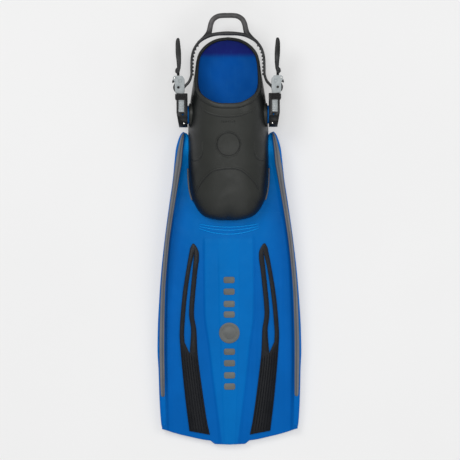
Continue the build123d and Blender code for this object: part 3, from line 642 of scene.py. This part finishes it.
def build_web():
    """The blade's flat part with its arms' root, as one closed grid folded over at its edges."""
    across = np.concatenate([np.linspace(0, 0.30, 26), np.linspace(0.31, 0.42, 14), np.linspace(0.44, 1, 46)])
    body = np.linspace(WEB_START, TIP_START, 150, endpoint=False)
    top_rows = []
    for y in np.concatenate([body, np.linspace(TIP_START, TIP_CORNER_Y, 60)]):
        end = max(0.0, (TIP_START - y) / (TIP_START - TIP_CORNER_Y)) ** 3
        width = rail_x(y) + WEB_LAP
        if y < FLARE_START:
            width = min(width + (y - FLARE_START) / (TIP_CORNER_Y - FLARE_START) * FLARE, CORNER_X)
        row = [(x, y - tip_drop(x) * end, web_height(x, y)) for x in across * width]
        top_rows.append(both_sides(row))
    folded = []  # the end edge bends over in three rows and comes back under the web
    for out, sink in ((0.35, 0.1), (0.7, 0.45), (0.8, 0.85)):
        folded.append([(x, y - out, z + (WEB_BOTTOM - z) * sink) for x, y, z in top_rows[-1]])
    under = [[(x, y, WEB_BOTTOM) for x, y, z in row] for row in top_rows[::-1]]
    rows = top_rows + folded + under
    count, columns = len(rows), len(rows[0])
    faces = grid_faces(count, columns)
    for side in (0, columns - 1):
        for r in range(count // 2 - 1):
            corners = (r, r + 1, count - 2 - r, count - 1 - r)
            faces.append(tuple(row * columns + side for row in corners))
    last = (count - 1) * columns
    faces.append((*range(columns), *range(last + columns - 1, last - 1, -1)))
    mesh = mesh_from("blade_web", [p for row in rows for p in row], faces)
    mark_panel(mesh)
    add_piece(mesh, BLADE_BLUE, ("blade",), sharp=50)


def build_arm(side_name, side):
    """Web beside the pocket, from the toe up to the rail's rounded tip."""
    rings = []
    for y in np.linspace(19, 138.6, 60):
        inner, outer = smooth(y, ARM_Y, ARM_X), rail_x(y) + 1.5
        if outer - inner < 1:
            middle = (outer + inner) / 2
            inner, outer = middle - 0.5, middle + 0.5
        risen = step(y, *ARM_RISE)
        level = WEB_TOP - ARM_INSET + (rail_top(y) - ARM_DROP - WEB_TOP) * risen
        top = []
        for x in np.linspace(inner, outer, 14):
            fillet = FILLET * step(x, outer - 6, outer - 1) * (1 - risen)
            edge = ARM_ROUND * (1 - step(x, inner, inner + 2.2)) * risen
            top.append((x * side, y, level + fillet - edge))
        foot = [(x * side, y, WEB_BOTTOM + 2 * ARM_INSET) for x in np.linspace(outer, inner, 14)]
        rings.append(top + foot)
    mesh = loft(f"blade_arm_{side_name}", rings)
    mark_panel(mesh)
    add_piece(mesh, BLADE_BLUE, sharp=40)


def build_rail(side_name, side):
    """Side rail: a tall rounded bar that tapers to the blade's corner."""
    tip = 139.3 - 6 * np.linspace(0, 1, 10) ** 2
    turn = RAIL_TURN_Y - RAIL_TURN * (1 - (1 - np.linspace(0.1, 1, 10)) ** 2)
    rings = []
    for y in np.concatenate([tip, np.linspace(131, RAIL_TURN_Y, 150), turn]):
        inner, outer, crown = rail_x(y), smooth(y, EDGE_Y, EDGE_X), rail_top(y)
        foot = smooth(y, RAIL_FOOT_Y, RAIL_FOOT_Z)
        if y < RAIL_TURN_Y:
            squeeze = math.sqrt(max(1 - ((RAIL_TURN_Y - y) / RAIL_TURN) ** 2, 0.02))
            middle = (inner + outer) / 2
            inner, outer = middle + (inner - middle) * squeeze, middle + (outer - middle) * squeeze
            crown = foot + (crown - foot) * (0.55 + 0.45 * squeeze)
        r = min(2.6, (outer - inner) * 0.42)
        b = min(1.0, (outer - inner) * 0.3)
        waist = foot + (crown - foot) * 0.5
        profile = []
        for start, centre in ((180, inner + r), (90, outer - r)):
            for a in np.radians(np.linspace(start, start - 90, 7)):
                profile.append((centre + r * math.cos(a), crown - r + r * math.sin(a)))
        profile += [(outer, waist), (outer, foot + b), (outer - b * 0.3, foot + b * 0.3), (outer - b, foot)]
        profile += [(inner + b, foot), (inner + b * 0.3, foot + b * 0.3), (inner, foot + b), (inner, waist)]
        rings.append([(x * side, y, z) for x, z in profile])
    mesh = loft(f"rail_{side_name}", rings)
    add_piece(mesh, BLUE, (f"side_rail_{side_name}",))


STRIP_Y = (137.2, 127.6, 112, 96, 80, 70, -29, -100, -171, -220, -237.6)
STRIP_OUT = (64.9, 68.4, 72.2, 74.9, 77.2, 78.4, 92.0, 97.6, 99.6, 98.7, 97.8)
STRIP_IN = (62.2, 63.0, 64.6, 65.9, 68.6, 70.4, 85.6, 91.0, 92.2, 91.9, 91.9)
STRIP_START, STRIP_END = STRIP_Y[0], STRIP_Y[-1]
STRIP_RISE = 3.3
STRIP_SEAT = 1.4  # how far under the rail's top the strip starts
GROOVE_DEPTH = 0.9


def strip_edges(y):
    """Outer and inner x of the strip."""
    return smooth(y, STRIP_Y, STRIP_OUT), smooth(y, STRIP_Y, STRIP_IN)


def strip_groove(t):
    """Depth from 0 to 1 of the strip's groove, at t from -1 on its inner side to 1 on its outer side."""
    return math.exp(-(((t + 0.22) / 0.30) ** 2))


def build_strip(side_name, side):
    """Grey cap on the rail with a shallow groove along it and rounded ends."""
    rings = []
    ends = 6 * np.linspace(0, 1, 10) ** 2
    along = [STRIP_START - ends, np.linspace(STRIP_START - 8, STRIP_END + 8, 380), STRIP_END + ends[::-1]]
    for y in np.concatenate(along):
        outer, inner = strip_edges(y)
        near = min((STRIP_START + 0.1 - y) / 5, (y - STRIP_END + 0.1) / 4, 1)
        round_off = math.sqrt(max(1 - (1 - near) ** 2, 0.01))
        middle, half = (outer + inner) / 2, (outer - inner) / 2 * round_off
        base = rail_top(y) - STRIP_SEAT
        profile = []
        for t in np.linspace(-1, 1, 25):
            height = STRIP_RISE * max(1 - abs(t) ** 4, 0) ** 0.5 - GROOVE_DEPTH * strip_groove(t)
            profile.append(((middle + half * t) * side, y, base + height * round_off))
        profile += [((middle + half) * side, y, base - 0.2), ((middle - half) * side, y, base - 0.2)]
        rings.append(profile)
    mesh = loft(f"strip_{side_name}", rings)
    marks = mesh.attributes.new("crease", "FLOAT", "POINT")
    for vertex, mark in zip(mesh.vertices, marks.data):
        outer, inner = strip_edges(vertex.co.y / MM)
        t = (2 * abs(vertex.co.x) / MM - outer - inner) / (outer - inner)
        # Painted shade in the groove and along both edges.
        mark.value = min(0.6 * strip_groove(t) + 0.6 * step(abs(t), 0.75, 1.0), 1)
    add_piece(mesh, STRIP_RUBBER, (f"rail_strip_{side_name}",))


build_web()
for side_name, side in SIDES:
    build_arm(side_name, side)
    build_rail(side_name, side)
    build_strip(side_name, side)

# ---- Toe ridges ----
TOE_RIDGES = ((3.5, 4.5), (-0.9, 5.6), (-6.6, 8.2))  # middle y and how far the ends lie to the heel
RIDGE_REACH = 43
for number, (ridge_y, sag) in enumerate(TOE_RIDGES, 1):
    xs = np.linspace(-RIDGE_REACH, RIDGE_REACH, 60)
    path = [(x, ridge_y + sag * (x / 42) ** 2, WEB_TOP + 0.15) for x in xs]
    mesh = sweep(f"toe_ridge_{number}", path, oval(1.15, 1.2), taper=10)
    # The ridges carry a painted highlight in their brighter blue.
    add_piece(mesh, PAINTED_HIGHLIGHT_RIDGE_BLUE)

# ---- Channel inserts ----
INSERT_OUTER = [(55, -26), (61, -59), (66.3, -93.4), (70.1, -136), (70, -164), (63.6, -235), (57.5, -286)]
INSERT_INNER = [
    (28.5, -291.5), (34, -263), (44.4, -185), (46.9, -143), (50.1, -118), (46.2, -70), (42.6, -42),
]
INSERT_HEAD = [(42.9, -32), (46.6, -23.6), (51, -19.7)]
ISLAND_LEFT = [(48.9, -32), (52.1, -60), (57, -116), (54.4, -143), (56.5, -176)]
ISLAND_RIGHT = [(63.8, -160), (64.2, -143), (61, -103), (55, -59)]
MEMBRANE_Y = -184  # the two legs are one membrane from here to the blade's end
MEMBRANE_END = -286.5
LEG_BOTTOM = 9.6
RIB_PROUD = 0.2  # how far the ribs stand over the rest
RIB_COUNT = 7


def join(name, meshes):
    """One mesh out of several."""
    work = bmesh.new()
    for mesh in meshes:
        work.from_mesh(mesh)
    joined = bpy.data.meshes.new(name)
    work.to_mesh(joined)
    work.free()
    for mesh in meshes:
        bpy.data.meshes.remove(mesh)
    return joined


def build_insert(side_name, side):
    """Soft channel: two legs round a sliver of the blade, and one ribbed membrane below them."""
    outer, inner = through(INSERT_OUTER, 60), through(INSERT_INNER, 60)
    head = through([INSERT_INNER[-1], *INSERT_HEAD, INSERT_OUTER[0]], 24)[1:-1]
    island = [*through(ISLAND_LEFT, 36), *through([*ISLAND_RIGHT, ISLAND_LEFT[0]], 36)[:-1]]
    plan = [mirrored([*outer, *inner, *head], side), mirrored(island, side)]
    lower = [p for p in (*outer, *inner) if p[1] < MEMBRANE_Y]
    meshes = [
        slab("legs", plan, LEG_BOTTOM, INSERT_TOP - RIB_PROUD, 0.45),
        slab("under", [mirrored(lower, side)], INSERT_BOTTOM, LEG_BOTTOM + 0.4, 0.4),
    ]
    for rib in range(RIB_COUNT):
        t = (rib + 0.6) / (RIB_COUNT + 0.2)
        path = []
        for y in np.linspace(12 * t - 181, MEMBRANE_END, 44):
            left, right = x_at(y, INSERT_INNER[:4]), x_at(y, INSERT_OUTER[3:])
            drop = 4.2 * step(-y, 280, 287) * (1 - t)
            path.append(((left + (right - left) * t) * side, y - drop, INSERT_TOP - RIB_PROUD - 0.02))
        meshes.append(sweep("rib", path, oval(0.75, 1.05, 8), taper=3))
    mesh = join(f"insert_{side_name}", meshes)
    add_piece(mesh, INSERT_RUBBER, (f"channel_insert_{side_name}",), sharp=40)


for side_name, side in SIDES:
    build_insert(side_name, side)

# ---- Foot pocket ----
POCKET_LOW = WEB_BOTTOM
WALL = 4.2
ARCH_POWER = 2.8
TOE_OUTLINE = [(0, 13), (12, 13.3), (24, 15.2), (35, 19.2), (43, 26.5), (49, 37), (53.6, 50), (56.8, 90)]
SIDE_OUTLINE = [(57, 130), (56.4, 158), (53.8, 181), (50.8, 201), (47.7, 220), (45.2, 237)]
HEEL_OUTLINE = [(41, 250.6), (30.6, 262.6), (16.4, 270.2), (0, 272.8)]
CROWN_Y = (13.2, 15, 20, 30, 45, 60, 100, 140, 172, 215, 274)
CROWN_Z = (15, 21, 31, 41, 50.5, 58, 76, 90.5, 97.2, 97.2, 95)
COLLAR_Y = (173.2, 174.2, 178.7, 182.2, 188.4, 195.6, 204, 228, 252, 274)
COLLAR_Z = (97.1, 96.2, 92.4, 88.7, 81.4, 72.6, 62.4, 42, 26, 19.5)
THROAT_Y = COLLAR_Y[0]
THROAT_RUN = 16  # columns stand closer for this far behind the throat
NOSE_RUN = (0, 38, 72, 118)
NOSE_Y = (13.4, 27, 50, 92)
NOSE_END = 112
COLUMN_ROWS = 30
OUTLINE = through([*TOE_OUTLINE, *SIDE_OUTLINE, *HEEL_OUTLINE], 700)


def outline_x(y):
    """Half width of the pocket in plan, on its widest stretch at that y."""
    return float(np.interp(y, OUTLINE[:, 1], OUTLINE[:, 0]))


def crown_z(y):
    return smooth(y, CROWN_Y, CROWN_Z)


def crown_y(base_y, run):
    """Where a column from the outline reaches the crown: the toe's columns fan out over a round nose."""
    return smooth(run, NOSE_RUN, NOSE_Y) if run < NOSE_END else base_y


def on_pocket(x, y):
    """Height of the pocket's outer face at a point in plan, right of the toe's round nose."""
    half = outline_x(y)
    part = min(abs(x) / half, 1)
    return POCKET_LOW + (crown_z(y) - POCKET_LOW) * (1 - part**ARCH_POWER) ** (1 / ARCH_POWER)


def pocket_columns():
    """Columns of points from the base outline up to the crown, or to the mouth's rim behind the throat."""
    run = np.concatenate([[0], np.cumsum(np.linalg.norm(np.diff(OUTLINE, axis=0), axis=1))])
    throat_run = float(np.interp(THROAT_Y, OUTLINE[:, 1], run))
    parts = [
        np.linspace(0, throat_run, 88, endpoint=False),
        throat_run + THROAT_RUN * np.linspace(0, 1, 40, endpoint=False) ** 1.9,
        np.linspace(throat_run + THROAT_RUN, run[-1], 74),
    ]
    columns = []
    for r in np.concatenate(parts):
        base_x, base_y = (float(np.interp(r, run, OUTLINE[:, k])) for k in (0, 1))
        end_y = crown_y(base_y, r)
        end = math.pi / 2
        if r >= throat_run:
            rise = (smooth(base_y, COLLAR_Y, COLLAR_Z) - POCKET_LOW) / (crown_z(base_y) - POCKET_LOW)
            end = math.asin(min(rise ** (ARCH_POWER / 2), 1))
        column = []
        for t in np.linspace(0, 1, COLUMN_ROWS):
            angle = end * t
            lean = 1 - math.cos(angle) ** (2 / ARCH_POWER) if angle < math.pi / 2 - 1e-6 else 1
            lift = math.sin(angle) ** (2 / ARCH_POWER)
            y = base_y + (end_y - base_y) * lean
            column.append((base_x * (1 - lean), y, POCKET_LOW + (crown_z(end_y) - POCKET_LOW) * lift))
        columns.append(column)
    return columns


def build_pocket():
    """Pocket wall with its true thickness, open at the heel and underneath."""
    right = pocket_columns()
    left = [mirrored(column, -1) for column in right[-2:0:-1]]
    mesh = loft("pocket_shell", [*right, *left], closed=True, tube=False)
    piece = add_piece(mesh, POCKET_RUBBER, ("foot_pocket",))
    walls = piece.modifiers.new("wall", "SOLIDIFY")
    walls.thickness = WALL * MM
    walls.offset = -1
    walls.use_even_offset = False
    return right


def surface_normal(x, y):
    """Outward normal of the pocket's face, from nearby heights."""
    e = 0.4
    across = (on_pocket(x + e, y) - on_pocket(x - e, y)) / (2 * e)
    along = (on_pocket(x, y + e) - on_pocket(x, y - e)) / (2 * e)
    normal = np.array([-across, -along, 1.0])
    return normal / np.linalg.norm(normal)


def raised_line(name, plan, width, height, closed=False, count=90, sink=0.0, taper=6, material=POCKET_RUBBER):
    """Moulded ridge that follows the pocket's face along a line given in plan."""
    plan = through(plan, count, closed=closed)
    ups = np.array([surface_normal(x, y) for x, y in plan])
    path = [np.array([x, y, on_pocket(x, y)]) - up * sink for (x, y), up in zip(plan, ups)]
    mesh = sweep(name, path, oval(width, height, 10), up=ups, taper=0 if closed else taper, closed=closed)
    add_piece(mesh, material)


def groove_line(name, plan, count=90):
    """Dark line of painted shade where the pocket has a moulded crease, with a soft lip on its heel side."""
    raised_line(name, plan, 0.55, 0.35, count=count, material=PAINTED_SHADE_RUBBER)
    raised_line(f"{name}_lip", [(x * 1.01, y + 1.5) for x, y in plan], 1.3, 0.55, count=count, sink=0.1)


def build_rim(columns):
    """Thick rounded lip round the mouth, wider across the instep."""
    throat = [c[-1] for c in columns if c[0][1] >= THROAT_Y - 0.01]
    right = through([throat[0], *throat[3::3], throat[-1]], 150, even=3)
    path = np.vstack([right, mirrored(right[-2:0:-1], -1)])
    sections, ups, centres = [], [], []
    for x, y, z in path:
        wide = 1 - step(y, 175, 200)
        sections.append(bar(2.15 + 1.5 * wide, 2.5, 2.1))
        steep = step(y, 190, 225)
        heel = step(y, 236, 262)
        inward = np.array([-math.copysign(1, x) * (1 - heel) - x / 40 * heel, -heel, 0.0])
        inward /= np.linalg.norm(inward)
        centres.append(np.array([x, y, z]) + inward * 1.9 * steep * min(abs(x) / 8 + heel, 1))
        low_wall = step(y, 196, 232)
        normal = surface_normal(math.copysign(min(abs(x), outline_x(min(y, 262)) * 0.97), x), min(y, 262))
        ups.append(normal * (1 - low_wall) + np.array([0, 0, 1.0]) * low_wall)
    mesh = sweep("mouth_rim", centres, sections, up=np.array(ups), closed=True)
    add_piece(mesh, POCKET_RUBBER)


build_rim(build_pocket())

COLLAR_LINE = [(0, 170), (26, 174.6), (40, 183), (44, 187.5)]
SECOND_LINE = [(0, 157.2), (20, 159.6), (33, 165.4), (38.5, 171)]
TOE_CAP_LEFT = [(-48, 48), (-38, 66.5), (-24, 80.6), (-10, 84.4)]
TOE_CAP_RIGHT = [(10, 84.6), (21, 80.6), (36, 66.5), (42, 56)]
INSTEP_SEAM = [(51, 96.2), (44, 97.4), (39, 101), (36.6, 108), (36, 122)]
GRIP_RIBS = 7
GRIP_PITCH = 3
EMBLEM_Y = 119.6
RING_RADIUS = 17.4


def emblem(radius):
    """Circle of points in plan."""
    turns = np.linspace(0, 2 * math.pi, 25)[:-1]
    return [(radius * math.cos(a), EMBLEM_Y + radius * math.sin(a)) for a in turns]


groove_line("collar_line", both_sides(COLLAR_LINE))
groove_line("second_collar_line", both_sides(SECOND_LINE))
groove_line("toe_cap_line", [*TOE_CAP_LEFT, (0, 85), *TOE_CAP_RIGHT])
for side_name, side in SIDES:
    groove_line(f"instep_seam_{side_name}", mirrored(INSTEP_SEAM, side), count=50)
for number in range(GRIP_RIBS):
    x = GRIP_PITCH * (number - (GRIP_RIBS - 1) / 2)
    raised_line(f"grip_rib_{number + 1}", [(x, 153.2), (x, 149.4)], 0.7, 0.6, count=10, taper=3)
raised_line("emblem_ring", emblem(RING_RADIUS), 0.9, 0.75, closed=True, count=120)
# A dark ring of painted shade inside the emblem ring.
raised_line("emblem_crease_shade", emblem(RING_RADIUS * 0.9), 0.5, 0.3, closed=True, count=120, material=PAINTED_SHADE_RUBBER)

BOSS_X = (49.4, 52, 53.8, 54.9, 55.3, 55.3, 51.6)
BOSS_RADIUS = (17.4, 16.9, 16.3, 15.8, 15.2, 12.6, 12.6)


def build_boss(side_name, side):
    """Rubber collar round the foot of the swivel post, which swells out of the pocket's side."""
    profile = list(zip(BOSS_X, BOSS_RADIUS))
    rings = []
    for a in np.linspace(0, 2 * math.pi, 49)[:-1]:
        turned = [(x * side, PIVOT_Y + r * math.cos(a), PIVOT_Z + r * math.sin(a)) for x, r in profile]
        rings.append(turned)
    mesh = loft(f"pivot_boss_{side_name}", rings, closed=True)
    add_piece(mesh, POCKET_RUBBER, sharp=40)


for side_name, side in SIDES:
    build_boss(side_name, side)


# ---- Foot plate inside the pocket ----
FOOTBED_BOTTOM = 7.9
FOOTBED_TOP = 9.4
HEEL_LIFT = 6.5
SIDE_LIFT = 1.8


def build_footbed():
    """Top of the foot plate: dished lengthwise and turned up at the heel."""
    rings = []
    for y in np.linspace(40, 269.4, 110):
        half = outline_x(y) - WALL + 0.8
        level = FOOTBED_TOP + HEEL_LIFT * step(y, 240, 272) ** 1.3
        row = [(t * half, y, level + SIDE_LIFT * abs(t) ** 4) for t in np.linspace(-1, 1, 41)]
        rings.append(row + [(x, y, FOOTBED_BOTTOM) for x, y, z in row[::-1]])
    add_piece(loft("footbed", rings), FOOTBED, sharp=40)


build_footbed()

# ---- Heel strap ----
STRAP_HALF_THICK = 1.6
WRAP_RADIUS = 5.9
TOOTH_COUNT = 9
TOOTH_STEP = 5.1
TOOTH_START = 260
TOOTH_REACH = 9.5  # half the teeth's length along the strap's breadth
STRAP_HEEL = [(0, 276.2), (15, 275.8), (28, 272.6)]
STRAP_SIDE = [(40, 265.4), (47.6, 255), (50.9, 243), (51.5, 231), (51.5, 219)]
STRAP_PAD = [(0, 277.6), (25, 275), (36, 269.8)]
LOOP_FOOT = [(42.5, 264.6), (36, 269.6), (30, 274), (26.6, 278.6), (25, 285)]
LOOP_GRIP = [(23.6, 291), (20.4, 297), (14, 301.2), (7, 302.3), (0, 302.4)]
LOOP_Y = (264, 269.6, 274, 279, 285, 295, 303)
LOOP_HALF_THICK = (0.8, 1.7, 3.4, 3.9, 3.7, 3.6, 3.4)
LOOP_HALF = 6.5
LOOP_FLARE = 3


def strap_path():
    """Right half of the strap's centre line: heel, side, round the roller and back up to the tab."""
    wrap = []
    for a in np.radians(np.linspace(200, 390, 22)):
        wrap.append((ROLLER_X + WRAP_RADIUS * math.cos(a), ROLLER_Y + WRAP_RADIUS * math.sin(a)))
    heel = through([*STRAP_HEEL, *STRAP_SIDE], 70)
    into = through([(51.5, 224), (51.5, 219), (54.6, 209.8), (60.2, 203.4), *wrap[:2]], 24)[5:-3]
    out = through([*wrap[-2:], (72.2, 209.6), (70.4, 216), (70.4, 221)], 20)[4:]
    return [(x, y, PIVOT_Z) for x, y in np.vstack([heel[:-1], into, wrap, out])]


def build_tooth(y, side):
    """One tooth across the strap's inner face, at that y."""
    centre = x_at(y, [*STRAP_SIDE[:4], (51.5, 219), (52.5, 205)])
    lean = math.atan2(3.2, TOOTH_STEP * 2.2) if y > 250 else 0
    x = centre - STRAP_HALF_THICK * math.cos(lean) - 0.25
    heights = np.linspace(PIVOT_Z - TOOTH_REACH, PIVOT_Z + TOOTH_REACH, 8)
    path = [(x * side, y - 0.8 * math.sin(lean), z) for z in heights]
    return sweep("tooth", path, bar(1.15, 1.35, 0.5), up=(1, 0, 0))


def build_strap():
    """Band, heel pad, pull loop, teeth and pull tabs, joined as one moulding."""
    meshes = [sweep("band", both_sides(strap_path()), bar(STRAP_HALF_THICK, STRAP_HALF, 0.8))]
    pad = [(x, y, PIVOT_Z) for x, y in through(both_sides(STRAP_PAD), 50)]
    swell = np.sin(np.linspace(0, math.pi, 50)).clip(0) ** 0.5
    meshes.append(sweep("pad", pad, [bar(1.0 + 0.9 * t, STRAP_HALF - 0.4, 0.9) for t in swell]))
    right = through([*LOOP_FOOT, *LOOP_GRIP], 60)
    line = [*right, *mirrored(right[-2::-1], -1)]
    grips = []
    for x, y in line:
        thick = smooth(y, LOOP_Y, LOOP_HALF_THICK)
        reach = LOOP_HALF + LOOP_FLARE * (1 - step(y, 268, 284))
        grips.append(bar(thick, reach, min(thick, 2.9) - 0.1))
    meshes.append(sweep("loop", [(x, y, PIVOT_Z) for x, y in line], grips))
    for side in (1, -1):
        meshes += [build_tooth(TOOTH_START - number * TOOTH_STEP, side) for number in range(TOOTH_COUNT)]
        meshes.append(build_tab(side))
    mesh = join("strap", meshes)
    add_piece(mesh, STRAP_RUBBER, ("heel_strap",), body="strap_bail", sharp=50)


TAB_Y = (218, 221.5, 223.4, 225.4, 228.5, 238, 246, 254, 262, 267, 269.8, 270.6)
TAB_IN = (68.6, 68.4, 68.2, 67.8, 67.0, 66.2, 66.1, 66.4, 67.2, 67.7, 68.3, 69.0)
TAB_OUT = (72.0, 72.4, 74.6, 74.2, 71.9, 72.5, 73.4, 73.8, 73.8, 73.1, 71.9, 70.9)


def build_tab(side):
    """Pull tab at the strap's end: a slim neck with a hooked shoulder, a full grip and a rounded tip."""
    path, sections = [], []
    for y in np.linspace(TAB_Y[0], TAB_Y[-1], 60):
        inner, outer = smooth(y, TAB_Y, TAB_IN), smooth(y, TAB_Y, TAB_OUT)
        reach = STRAP_HALF * (1 - 0.25 * step(y, 240, 270))
        path.append(((inner + outer) / 2 * side, y, PIVOT_Z))
        sections.append(bar((outer - inner) / 2, reach, min(1.1, (outer - inner) / 2.2)))
    return sweep("tab", path, sections)


build_strap()


# ---- Grip ribs on the release buttons ----
BUTTON_RIBS = 4
BUTTON_RIB_START = 1.1
BUTTON_RIB_PITCH = 1.8
BUTTON_RIB_INSET = 0.8


def build_button_grip(level, side_name, side):
    """Small ribs across the button's cap, which ride with it."""
    node = f"release_button_{level}_{side_name}"
    face = high(node)[2] if level == "upper" else low(node)[2]
    inner, outer = sorted((abs(low(node)[0]), abs(high(node)[0])))
    ribs = []
    for rib in range(BUTTON_RIBS):
        y = low(node)[1] + BUTTON_RIB_START + rib * BUTTON_RIB_PITCH
        xs = np.linspace(inner + BUTTON_RIB_INSET, outer - BUTTON_RIB_INSET, 14)
        path = [(x * side, y, face) for x in xs]
        ribs.append(sweep("rib", path, oval(0.5, 0.45, 8), taper=3))
    mesh = join(f"button_grip_{level}_{side_name}", ribs)
    add_piece(mesh, BUTTON_PLASTIC, body=f"button_{level}_{side_name}_body")


for side_name, side in SIDES:
    for level in ("upper", "lower"):
        build_button_grip(level, side_name, side)


# ---- CAD nodes that stay ----
WELD = 0.02


def dress(node, material, bevel):
    """Keep a CAD node, round its edges a little and give it its material."""
    piece = frame["nodes"][node]
    piece.data.materials.clear()
    piece.data.materials.append(material)
    piece.modifiers.new("weld", "WELD").merge_threshold = WELD * MM
    if bevel:
        edges = piece.modifiers.new("edges", "BEVEL")
        edges.width = bevel * MM
        edges.segments = 2
        edges.limit_method = "ANGLE"
        edges.angle_limit = math.radians(38)
        edges.harden_normals = True
    piece.data.polygons.foreach_set("use_smooth", [True] * len(piece.data.polygons))


FINISHES = {
    "pocket_sole": (POCKET_RUBBER, 0.8),
    "sole_pads": (TREAD_RUBBER, 0.3),
    "blade_badge": (GREY_TRIM, 0.3),
    "blade_marks": (GREY_TRIM, 0.25),
    "pocket_flare": (TRIM_RUBBER, 0.4),
    "swivel_post": (BLUE, 0.4),
    "buckle_receiver": (BLACK_PLASTIC, 0.5),
    "buckle_plug": (GREY_PLASTIC, 0.4),
    "release_button": (BUTTON_PLASTIC, 0.35),
    "button_spring": (SPRING_STEEL, 0),
    "retaining_pin": (PIN_STEEL, 0.2),
    "roller": (BLACK_PLASTIC, 0.3),
    "roller_pin": (DARK_STEEL, 0.2),
    "tie_pin": (GREY_PLASTIC, 0.25),
    "pawl_pin": (PIN_STEEL, 0.15),
    "strap_pawl": (BLACK_PLASTIC, 0.25),
    "pawl_spring": (SPRING_STEEL, 0),
}
for node in frame["nodes"]:
    kind = node
    for place in ("_left", "_right", "_upper", "_lower"):
        kind = kind.removesuffix(place)
    if kind in FINISHES:
        dress(node, *FINISHES[kind])


# ---- Floor, light and camera ----
# Places and sizes of the stage are in metres.
FLOOR_HALF = 6.0
TABLE_GLOW = 0.42
STUDIO_GLOW = 0.32
LIGHT_AIM = (0, 0, 0.04)
CAMERA_PLACE = (0.0017, -0.0007, 5.46)
CAMERA_TURN = -0.3  # degrees
LENS = 300


def build_floor():
    """Wide pale floor under the fin, faintly lit from below like a photographer's light table."""
    mesh = bpy.data.meshes.new("floor")
    corners = [(x * FLOOR_HALF, y * FLOOR_HALF, 0) for x, y in ((-1, -1), (1, -1), (1, 1), (-1, 1))]
    mesh.from_pydata(corners, [], [(0, 1, 2, 3)])
    floor = add_object("floor", mesh)
    s = Surface("pale_floor")
    colour = s.mix(s.ranged(s.noise(3, 3), 0.3, 0.7), (0.44, 0.44, 0.44), (0.45, 0.45, 0.45))
    s.gloss(0.05)
    s.feed((1, 1, 1), s.shader.inputs["Emission Color"])
    s.feed(TABLE_GLOW, s.shader.inputs["Emission Strength"])
    roughness = s.ranged(s.noise(30, 3), 0.3, 0.7, 0.75, 0.85)
    mesh.materials.append(s.finish(colour, roughness, [(s.noise(500, 2), 0.1, 0.1)]))


def add_light(name, place, size, power):
    """Soft area light aimed at the middle of the fin."""
    data = bpy.data.lights.new(name, "AREA")
    data.shape = "DISK"
    data.size = size
    data.energy = power
    lamp = add_object(name, data)
    lamp.location = place
    lamp.rotation_euler = (Vector(LIGHT_AIM) - Vector(place)).to_track_quat("-Z", "Y").to_euler()


def build_light():
    """Four soft lights and a pale studio round them."""
    add_light("key", (-1.2, 1.3, 2.4), 1.4, 30)
    add_light("fill", (1.7, 0.5, 2.1), 1.8, 17)
    add_light("foot", (0.2, -2.0, 2.1), 1.8, 15)
    add_light("top", (-0.15, 0.35, 3.1), 0.9, 17)
    world = bpy.data.worlds.new("studio")
    bpy.context.scene.world = world
    world.use_nodes = True
    background = world.node_tree.nodes["Background"]
    background.inputs["Color"].default_value = (1, 1, 1, 1)
    background.inputs["Strength"].default_value = STUDIO_GLOW
    bpy.context.scene.view_settings.view_transform = "Standard"


def build_camera():
    """Long lens straight above, with the heel at the top of the frame."""
    data = bpy.data.cameras.new("camera")
    data.lens = LENS
    data.sensor_width = 36
    data.clip_end = 50
    camera = add_object("camera", data)
    camera.location = CAMERA_PLACE
    camera.rotation_euler = (0, 0, math.radians(CAMERA_TURN))
    bpy.context.scene.camera = camera


build_floor()
build_light()
build_camera()
